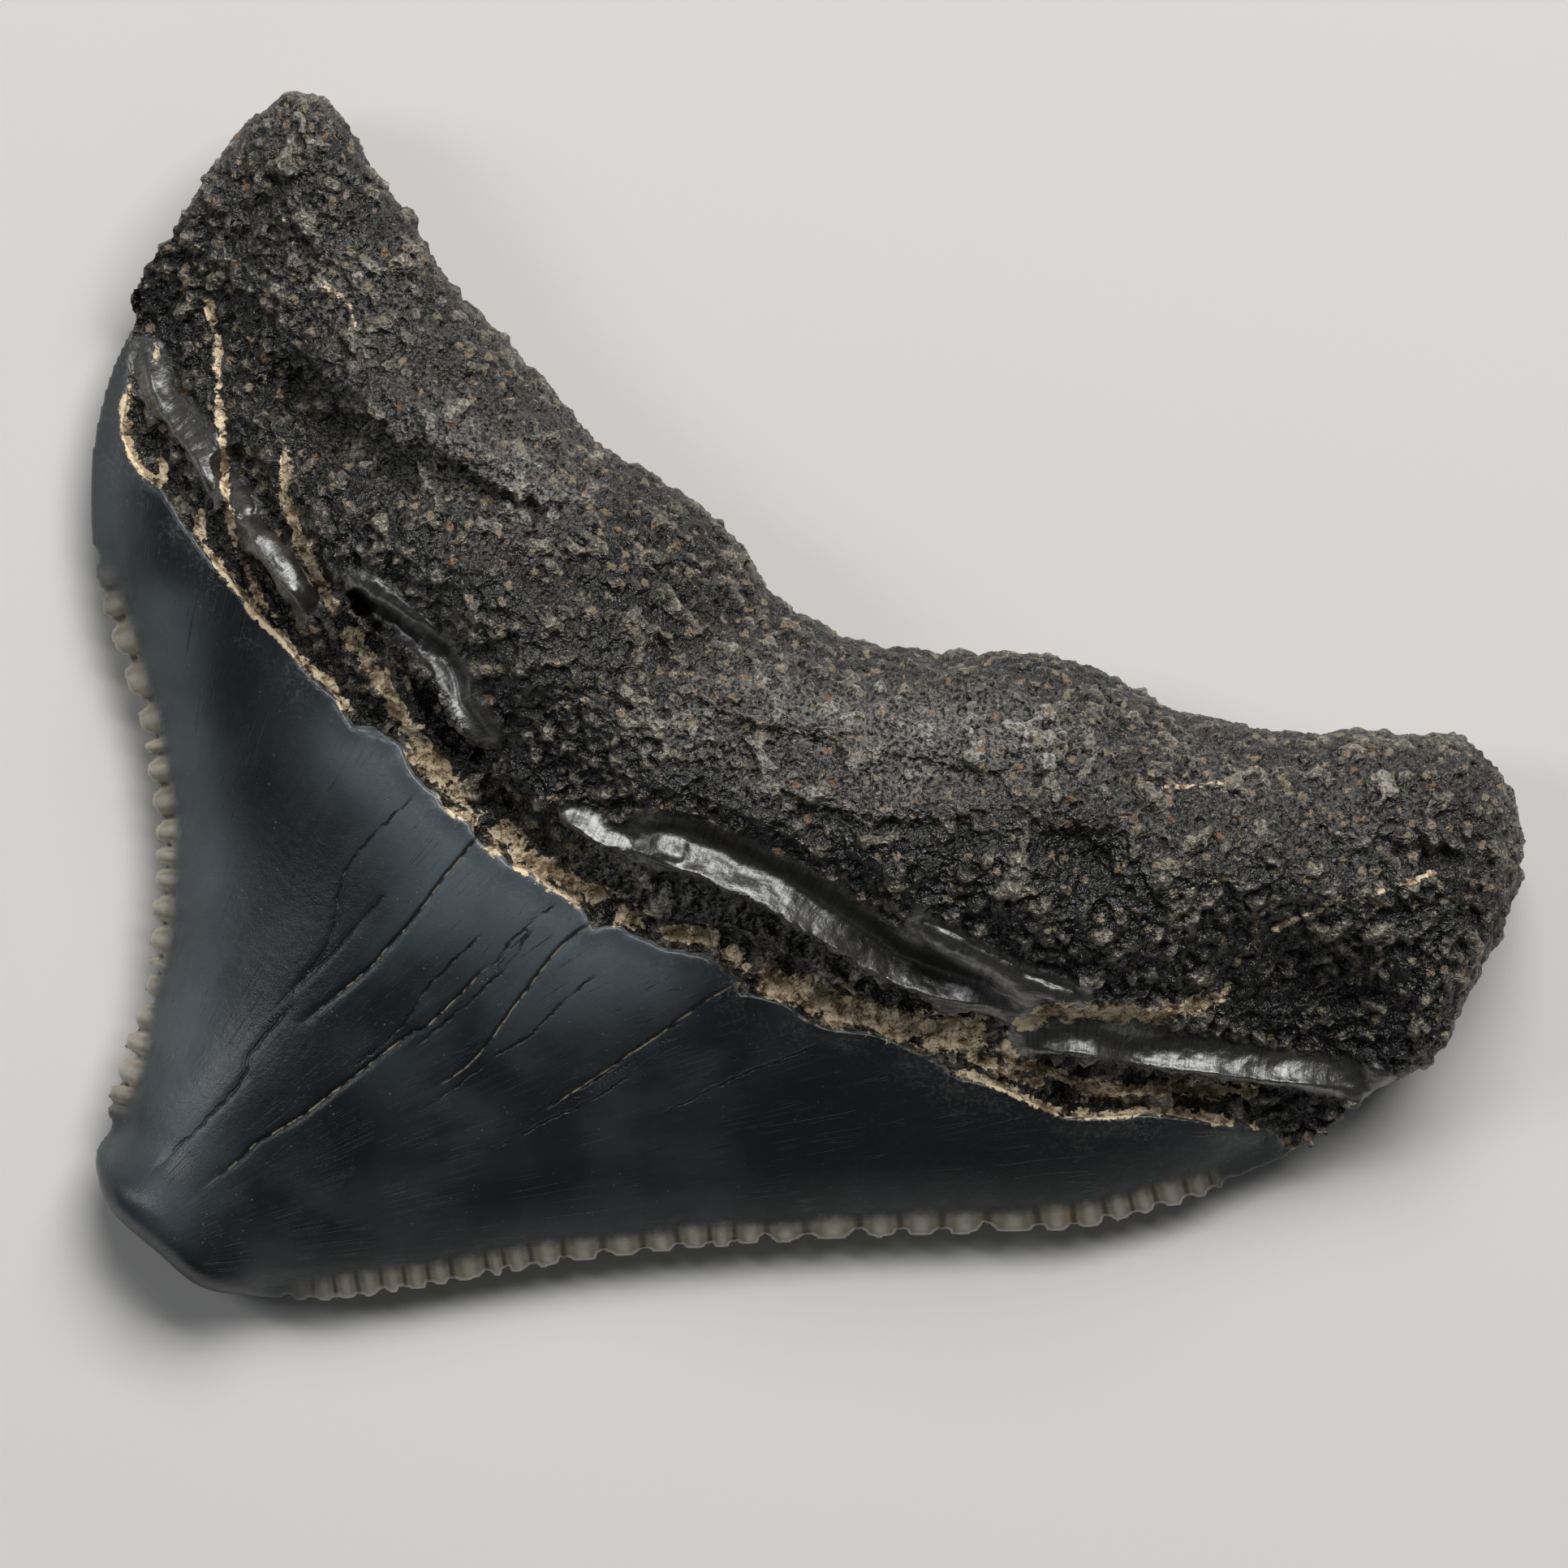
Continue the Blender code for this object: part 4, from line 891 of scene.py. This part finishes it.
def finish_material(g, shader, colour, roughness, height):
    """Heights are in millimetres, and the object is in metres."""
    g.join(colour, shader.inputs["Base Color"])
    g.join(roughness, shader.inputs["Roughness"])
    g.join(g.add("Bump", {"Strength": 1.0, "Distance": 0.001, "Height": height}), shader.inputs["Normal"])


def build_enamel():
    material, g, shader = start_material("fossil_enamel", 0.5, 0.15)
    spot = g.millimetres()
    enamel, edge, bead, depth, clay_mark, pale, dark, crack, crack_near = (
        g.attribute(name) for name in ("enamel", "edge", "bead", "bead_depth", "clay", "pale", "dark", "crack",
                                       "crack_near"))
    dark_line, dark_near = g.attribute("dark_line"), g.attribute("dark_line_near")
    fine, broad = g.noise(spot, 0.25, 3), g.noise(spot, 2.6, 2)

    ray = g.add("VectorMath", {0: spot, 1: TIP}, operation="SUBTRACT")
    split = g.tree.nodes.new("ShaderNodeSeparateXYZ")
    g.join(ray, split.inputs[0])
    turn = g.math("ARCTAN2", split.outputs[1], split.outputs[0])
    reach = g.add("VectorMath", {0: ray}, out="Value", operation="LENGTH")
    fan = g.add("CombineXYZ", {0: g.times(turn, 26.0), 1: g.times(reach, 0.16), 2: 0.0})
    streaks = g.add("TexNoise", {"Vector": fan, "Scale": 2.2, "Detail": 4.0, "Roughness": 0.6})
    hair_at = g.add("CombineXYZ", {0: g.times(turn, 60.0), 1: g.times(reach, 0.1), 2: 3.0})
    hair = g.add("TexNoise", {"Vector": hair_at, "Scale": 1.0, "Detail": 2.0, "Roughness": 0.5})
    hairs = g.ramp(g.math("ABSOLUTE", g.math("SUBTRACT", hair, 0.5)), 0.0, 0.012, 1.0, 0.0)
    hairs = g.times(hairs, g.ramp(g.noise(spot, 1.1, 3), 0.45, 0.6))

    mottled = g.math("ADD", g.times(broad, 0.75), g.times(streaks, 0.2))
    # The pale and dark zones lighten and darken the enamel: paler and darker tone, with painted reflection and
    # painted shade.
    tone = g.math("ADD", g.ramp(mottled, 0.36, 0.6, 0.03, 0.2), g.times(pale, 0.8))
    tone = g.times(tone, g.math("SUBTRACT", 1.0, dark))
    colour = g.mix(tone, DEEP_SLATE, PALE_SLATE)
    colour = g.mix(g.times(hairs, 0.5), colour, HAIR)
    dust = g.times(g.ramp(g.cells(spot, 0.3), 0.14, 0.06), g.ramp(g.noise(spot, 0.7, 3), 0.5, 0.6))
    bloom = g.times(g.ramp(g.noise(spot, 0.14, 3, 0.7), 0.45, 0.7), g.ramp(enamel, 1.6, 0.1))
    dust = g.math("MAXIMUM", dust, g.times(bloom, g.ramp(g.noise(spot, 1.2, 2), 0.35, 0.6)))
    colour = g.mix(g.times(dust, 0.3), colour, DUST)
    # Painted highlight: a pale, broken line along the enamel's border, where its edge faces the light.
    rim = g.times(g.ramp(enamel, 0.12, 0.0), g.ramp(fine, 0.4, 0.6))
    colour = g.mix(g.times(rim, 0.4), colour, BORDER_HIGHLIGHT)

    band = g.ramp(edge, 2.3, 0.7)
    colour = g.mix(g.times(band, 0.3), colour, EDGE_GREY)
    cream = g.mix(g.noise(spot, 0.5, 2), CREAM, GREY_CREAM)
    cream = g.mix(g.ramp(g.noise(spot, 1.7, 1), 0.62, 0.75), cream, HONEY)
    from_middle = g.math("ABSOLUTE", g.math("SUBTRACT", g.math("FRACT", bead), 0.5))
    between, middle = g.ramp(from_middle, 0.34, 0.48), g.ramp(from_middle, 0.26, 0.05)
    # Painted highlight: the middle of each barrel is lightened, as if it caught the light.
    cream = g.mix(g.times(middle, 0.45), cream, BARREL_HIGHLIGHT)
    cream = g.mix(g.times(between, 0.85), cream, NOTCH_BROWN)
    inner = g.math("MULTIPLY_ADD", fine, 0.3, edge)
    colour = g.mix(g.times(g.ramp(inner, 1.0, 0.45), depth), colour, cream)

    from_crack = g.math("ADD", crack, g.math("MULTIPLY_ADD", g.noise(spot, 0.5, 2), 0.1, -0.05))
    line = g.times(g.ramp(g.math("ABSOLUTE", from_crack), 0.045, 0.015), crack_near)
    shade = g.times(g.ramp(g.math("ABSOLUTE", g.math("ADD", from_crack, 0.05)), 0.1, 0.03), crack_near)
    colour = g.mix(g.times(shade, 0.8), colour, CRACK_BLACK)
    broken = g.ramp(g.noise(spot, 0.35, 3), 0.42, 0.58, 0.0, 0.8)
    wavy = g.math("ADD", dark_line, g.math("MULTIPLY_ADD", g.noise(spot, 0.35, 3), 0.24, -0.12))
    groove = g.ramp(g.math("ABSOLUTE", wavy), 0.07, 0.02)
    groove = g.times(groove, g.ramp(g.noise(spot, 0.8, 2), 0.35, 0.5, 0.2, 1.0))
    groove = g.times(groove, dark_near)
    colour = g.mix(g.times(groove, 0.85), colour, LINE_BLACK)
    colour = g.mix(g.times(line, broken), colour, CRACK_TAN)

    clay_mask, clay_colour, clay_height = place_clay(g, clay_group, spot, clay_mark)
    colour = g.mix(clay_mask, colour, clay_colour)
    roughness = g.blend(clay_mask, g.math("MULTIPLY_ADD", fine, 0.14, 0.26), 0.9)
    height = g.times(g.noise(spot, 0.3, 3, 0.6), 0.012)
    height = g.math("MULTIPLY_ADD", g.noise(spot, 0.06, 2, 0.6), 0.005, height)
    height = g.math("SUBTRACT", height, g.math("MULTIPLY_ADD", hairs, 0.005, g.times(line, 0.03)))
    height = g.math("SUBTRACT", height, g.times(groove, 0.03))
    beads = g.times(g.ramp(inner, 0.95, 0.6), depth)
    g.join(g.times(beads, 0.8), shader.inputs["Coat Weight"])
    finish_material(g, shader, colour, roughness, g.math("ADD", height, clay_height))
    return material


# %% [markdown]
# ## Root and glaze
# The root is black like coke, with tan and rusty grains of the sand it lay in. Its colour is
# darkened in the pits as painted shade and lightened on the bumps as painted light, with
# painted glints where strokes say the light catches. The glazed ridges are smoother, and
# finely wrinkled across, so their wrinkles follow a distance along the ridge that the mesh stores.

# %% Root material
PIT_SHADE_BLACK, LIT_BUMP_GREY, STAIN = (0.004, 0.0036, 0.0028), (0.16, 0.14, 0.105), (0.012, 0.011, 0.009)
GRAIN_HIGHLIGHT, GLINT_GREY = (0.52, 0.46, 0.37), (0.5, 0.475, 0.43)
SAND, RUST = (0.27, 0.21, 0.135), (0.24, 0.14, 0.07)
DEEP_GLAZE, PALE_GLAZE = (0.01, 0.0095, 0.008), (0.034, 0.031, 0.025)


def build_root():
    material, g, shader = start_material("fossil_root", 0.8, 0.36)
    spot = g.millimetres()
    glaze_mask, clay_mark, relief, painted_glints, specks = (
        g.attribute(name) for name in ("glaze", "clay", "relief", "painted_glints", "specks"))
    fine = g.noise(spot, 0.25, 3)
    grain = g.noise(spot, 0.14, 2, 0.6)
    # Painted shade and painted light: the rock is darkened in its pits and lightened on its raised bumps, and
    # the grain on the bumps is lighter still, after the Displace modifiers' relief.
    high = g.ramp(relief, -0.1, 0.14)
    rock = g.mix(high, PIT_SHADE_BLACK, LIT_BUMP_GREY)
    rock = g.mix(g.times(g.ramp(grain, 0.45, 0.7), high), rock, GRAIN_HIGHLIGHT)
    # Painted glints: a pale grey laid on the grain where the strokes say, stronger on raised bumps, standing in
    # for light caught on the rock.
    bright = g.times(painted_glints, g.ramp(grain, 0.4, 0.58))
    bright = g.times(bright, g.math("MULTIPLY_ADD", high, 0.6, 0.4))
    rock = g.mix(bright, rock, GLINT_GREY)
    rock = g.mix(g.ramp(g.noise(spot, 3.5, 2), 0.6, 0.4, 0.0, 0.4), rock, STAIN)
    pick = g.tree.nodes.new("ShaderNodeSeparateColor")
    g.join(g.cells(spot, 0.5, out="Color"), pick.inputs[0])
    chosen = g.math("GREATER_THAN", g.math("MULTIPLY_ADD", specks, 0.75, 0.12), pick.outputs[0])
    size = g.math("MULTIPLY_ADD", g.noise(spot, 0.12, 2), 0.6, g.cells(spot, 0.5))
    grains = g.times(g.ramp(size, 0.62, 0.52), chosen)
    rust = g.math("GREATER_THAN", pick.outputs[1], 0.86)
    rock = g.mix(g.times(grains, 0.85), rock, g.mix(rust, SAND, RUST))
    rock = g.mix(glaze_mask, rock, g.mix(g.noise(spot, 0.6, 2), DEEP_GLAZE, PALE_GLAZE))
    clay_mask, clay_colour, clay_height = place_clay(g, clay_group, spot, clay_mark)
    colour = g.mix(clay_mask, rock, clay_colour)

    rough = g.math("MULTIPLY_ADD", grain, 0.2, 0.22)
    rough = g.blend(glaze_mask, rough, g.math("MULTIPLY_ADD", fine, 0.16, 0.27))
    roughness = g.blend(clay_mask, rough, 0.9)

    along = g.times(g.attribute("wrinkles"), 12.0)
    across = g.add("CombineXYZ", {0: along, 1: g.times(g.noise(spot, 1.5, 1), 3.0), 2: 0.0})
    across = g.add("TexNoise", {"Vector": across, "Scale": 1.0, "Detail": 2.0})
    wrinkle = g.math("MULTIPLY_ADD", g.noise(spot, 0.08, 2), 0.6, across)
    brushed = g.math("MULTIPLY_ADD", g.noise(spot, 0.06, 2, 0.7), 0.8, across)
    polish = g.times(g.ramp(brushed, 0.7, 1.08, 0.15, 1.0), glaze_mask)
    g.join(g.times(polish, g.math("SUBTRACT", 1.0, clay_mask)), shader.inputs["Coat Weight"])
    grit = g.math("MULTIPLY_ADD", g.cells(spot, 0.3), 0.2, g.times(grain, 0.2))
    grit = g.times(grit, g.math("MULTIPLY_ADD", glaze_mask, -0.88, 1.0))
    height = g.math("ADD", grit, g.times(wrinkle, g.times(glaze_mask, 0.009)))
    finish_material(g, shader, colour, roughness, g.math("ADD", height, clay_height))
    return material


# %% [markdown]
# ## Two pieces: enamel crown and root
# Enamel and root need different finishes, and a piece has only so many triangles. So the
# skin is cut along the enamel's border into two closed pieces that meet exactly. An edge that
# crosses the border is split where the stored distance is zero, the faces are divided there,
# and the faces on the enamel side are separated. Each part then gets a wall of triangles
# between its upper and its lower border, so that both stay closed.

# %% Divide the faces along the border
def drop_islands(bm, value):
    """Leaves one connected region above 0 and one below, so that the border is a single loop."""
    for sign in (1, -1):
        left = {v for v in bm.verts if value[v] * sign > 0}
        regions = []
        while left:
            region, front = [], [left.pop()]
            while front:
                vertex = front.pop()
                region.append(vertex)
                for edge in vertex.link_edges:
                    other = edge.other_vert(vertex)
                    if other in left:
                        left.remove(other)
                        front.append(other)
            regions.append(region)
        for region in sorted(regions, key=len)[:-1]:
            for vertex in region:
                value[vertex] = -0.02 * sign


def divide(piece, level):
    """Cuts a triangle mesh where a value that every vertex has crosses 0, and selects where it is above."""
    bm = bmesh.new()
    bm.from_mesh(piece.data)
    value = dict(zip(bm.verts, level.tolist()))
    drop_islands(bm, value)
    for edge in bm.edges:
        a, b = edge.verts
        if value[a] * value[b] < 0:
            t = value[a] / (value[a] - value[b])
            if t < 0.12 or t > 0.88:
                value[a if t < 0.5 else b] = 0
    for edge in [e for e in bm.edges if value[e.verts[0]] * value[e.verts[1]] < 0]:
        a, b = edge.verts
        _, made = bmesh.utils.edge_split(edge, a, value[a] / (value[a] - value[b]))
        value[made] = 0
    for face in [f for f in bm.faces if min(value[v] for v in f.verts) < 0 < max(value[v] for v in f.verts)]:
        on_line = [v for v in face.verts if value[v] == 0]
        if len(on_line) == 2:
            bmesh.utils.face_split(face, *on_line)
    for face in bm.faces:
        face.select_set(sum(value[v] for v in face.verts) > 0)
    bm.select_flush_mode()
    bm.to_mesh(piece.data)
    bm.free()


def wall(piece, ends):
    """Closes a piece whose rim runs out along the upper border and back along the lower one."""
    bm = bmesh.new()
    bm.from_mesh(piece.data)
    rim = [e for e in bm.edges if e.is_boundary]
    loops = []
    left = set(rim)
    while left:
        edge = left.pop()
        chain = [edge.verts[0], edge.verts[1]]
        while True:
            more = [e for e in chain[-1].link_edges if e in left]
            if not more:
                break
            left.remove(more[0])
            chain.append(more[0].other_vert(chain[-1]))
        loops.append(chain[:-1] if chain[0] is chain[-1] else chain)
    loops.sort(key=len)
    chain = loops[-1]
    first, second = (min(range(len(chain)), key=lambda i: (chain[i].co.xy - Vector(end)).length) for end in ends)
    chain = chain[first:] + chain[:first]
    turn = (second - first) % len(chain)
    over, under = chain[:turn + 1], [chain[0]] + chain[:turn - 1:-1]
    i = j = 0
    while i < len(over) - 1 or j < len(under) - 1:
        if j == len(under) - 1 or (i < len(over) - 1 and (i + 1) / len(over) <= (j + 1) / len(under)):
            corners, i = (over[i], under[j], over[i + 1]), i + 1
        else:
            corners, j = (over[i], under[j], under[j + 1]), j + 1
        if len(set(corners)) == 3:
            bm.faces.new(corners)
    for edge in rim:
        edge.smooth = False
    bmesh.ops.triangulate(bm, faces=[f for f in bm.faces if len(f.verts) > 3])
    bmesh.ops.recalc_face_normals(bm, faces=bm.faces)
    open_edges = sum(not e.is_manifold for e in bm.edges)
    bm.to_mesh(piece.data)
    bm.free()
    print(piece.name, len(piece.data.polygons), "triangles,", open_edges, "open edges")


# %% Separate crown and root
only(tooth)
bpy.ops.object.mode_set(mode="EDIT")
bpy.ops.mesh.select_all(action="SELECT")
bpy.ops.mesh.quads_convert_to_tris()
bpy.ops.object.mode_set(mode="OBJECT")
border = field["enamel"] + 0.05 * lumps(field["co"], 0.3, 2.0) * field["top"]
divide(tooth, border)
bpy.ops.object.mode_set(mode="EDIT")
bpy.ops.mesh.separate(type="SELECTED")
bpy.ops.object.mode_set(mode="OBJECT")
crown = next(o for o in bpy.context.selected_objects if o is not tooth)
root = tooth
crown.name = crown.data.name = "enamel_crown"
root.name = root.data.name = "tooth_root"
for piece in (crown, root):
    wall(piece, (LIP_ENAMEL_LINE[0], LIP_ENAMEL_LINE[-1]))

# %% [markdown]
# ## Back to metres
# Both pieces shrink to their real size. They ride on the tooth's one body, and together they
# stand for its one CAD solid.

# %% Shrink and hand over
for piece in (crown, root):
    only(piece)
    bpy.ops.object.mode_set(mode="EDIT")
    bpy.ops.mesh.select_all(action="SELECT")
    bpy.ops.transform.resize(value=(0.001, 0.001, 0.001), center_override=(0, 0, 0))
    bpy.ops.object.mode_set(mode="OBJECT")
    piece.data.shade_smooth()
    piece.data.materials.clear()
    piece.data.materials.append(build_enamel() if piece is crown else build_root())
    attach(piece, "root")
    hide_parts("tooth")

# %% [markdown]
# ## Table, light and camera
# The tooth lies on a plain pale table. The light comes from behind it and above, from one
# large soft box, as on a copy stand with a window behind: that is what draws a bright line
# along each glazed lip. A weak one on the left lifts the upper half of the crown, and a very
# weak one in front keeps the lower edge from going black. The camera
# hangs a metre above with a long lens, so that the tall root isn't drawn larger than the
# thin cutting edges.

# %% Table
bpy.ops.object.select_all(action="DESELECT")
bpy.ops.mesh.primitive_plane_add(size=3)
table = bpy.context.active_object
table.name = "table"
paper = bpy.data.materials.new("pale_table")
paper.use_nodes = True
paper.node_tree.nodes["Principled BSDF"].inputs["Base Color"].default_value = (0.78, 0.76, 0.73, 1)
paper.node_tree.nodes["Principled BSDF"].inputs["Roughness"].default_value = 0.7
table.data.materials.append(paper)


# %% Lights
def softbox(name, place, size, power, colour=(1, 1, 1)):
    """A soft box at a place, aimed at the tooth."""
    light = bpy.data.lights.new(name, "AREA")
    light.shape, light.size, light.size_y = "RECTANGLE", *size
    light.energy, light.color = power, colour
    box = bpy.data.objects.new(name, light)
    box.location = place
    box.rotation_euler = Vector(place).to_track_quat("Z", "Y").to_euler()
    bpy.context.scene.collection.objects.link(box)


softbox("key", (0.15, 0.36, 0.42), (0.5, 0.28), 3.6)
softbox("left fill", (-0.37, 0.12, 0.34), (0.14, 0.2), 0.45, (0.94, 0.97, 1))
softbox("front fill", (0.1, -0.5, 0.35), (0.4, 0.3), 0.05)
world = bpy.data.worlds.new("room")
world.use_nodes = True
world.node_tree.nodes["Background"].inputs["Color"].default_value = (0.75, 0.8, 0.85, 1)
world.node_tree.nodes["Background"].inputs["Strength"].default_value = 0.06
bpy.context.scene.world = world

# %% Camera
CAMERA_HEIGHT = 1.0
VIEW_WIDTH = 0.046
lens = bpy.data.cameras.new("camera")
lens.lens = lens.sensor_width * (CAMERA_HEIGHT - 0.003) / VIEW_WIDTH
camera = bpy.data.objects.new("camera", lens)
camera.location = (-0.000665, -0.002537, CAMERA_HEIGHT)
bpy.context.scene.collection.objects.link(camera)
bpy.context.scene.camera = camera
bpy.context.scene.view_settings.view_transform = "Standard"
print("focal length:", round(lens.lens), "mm")
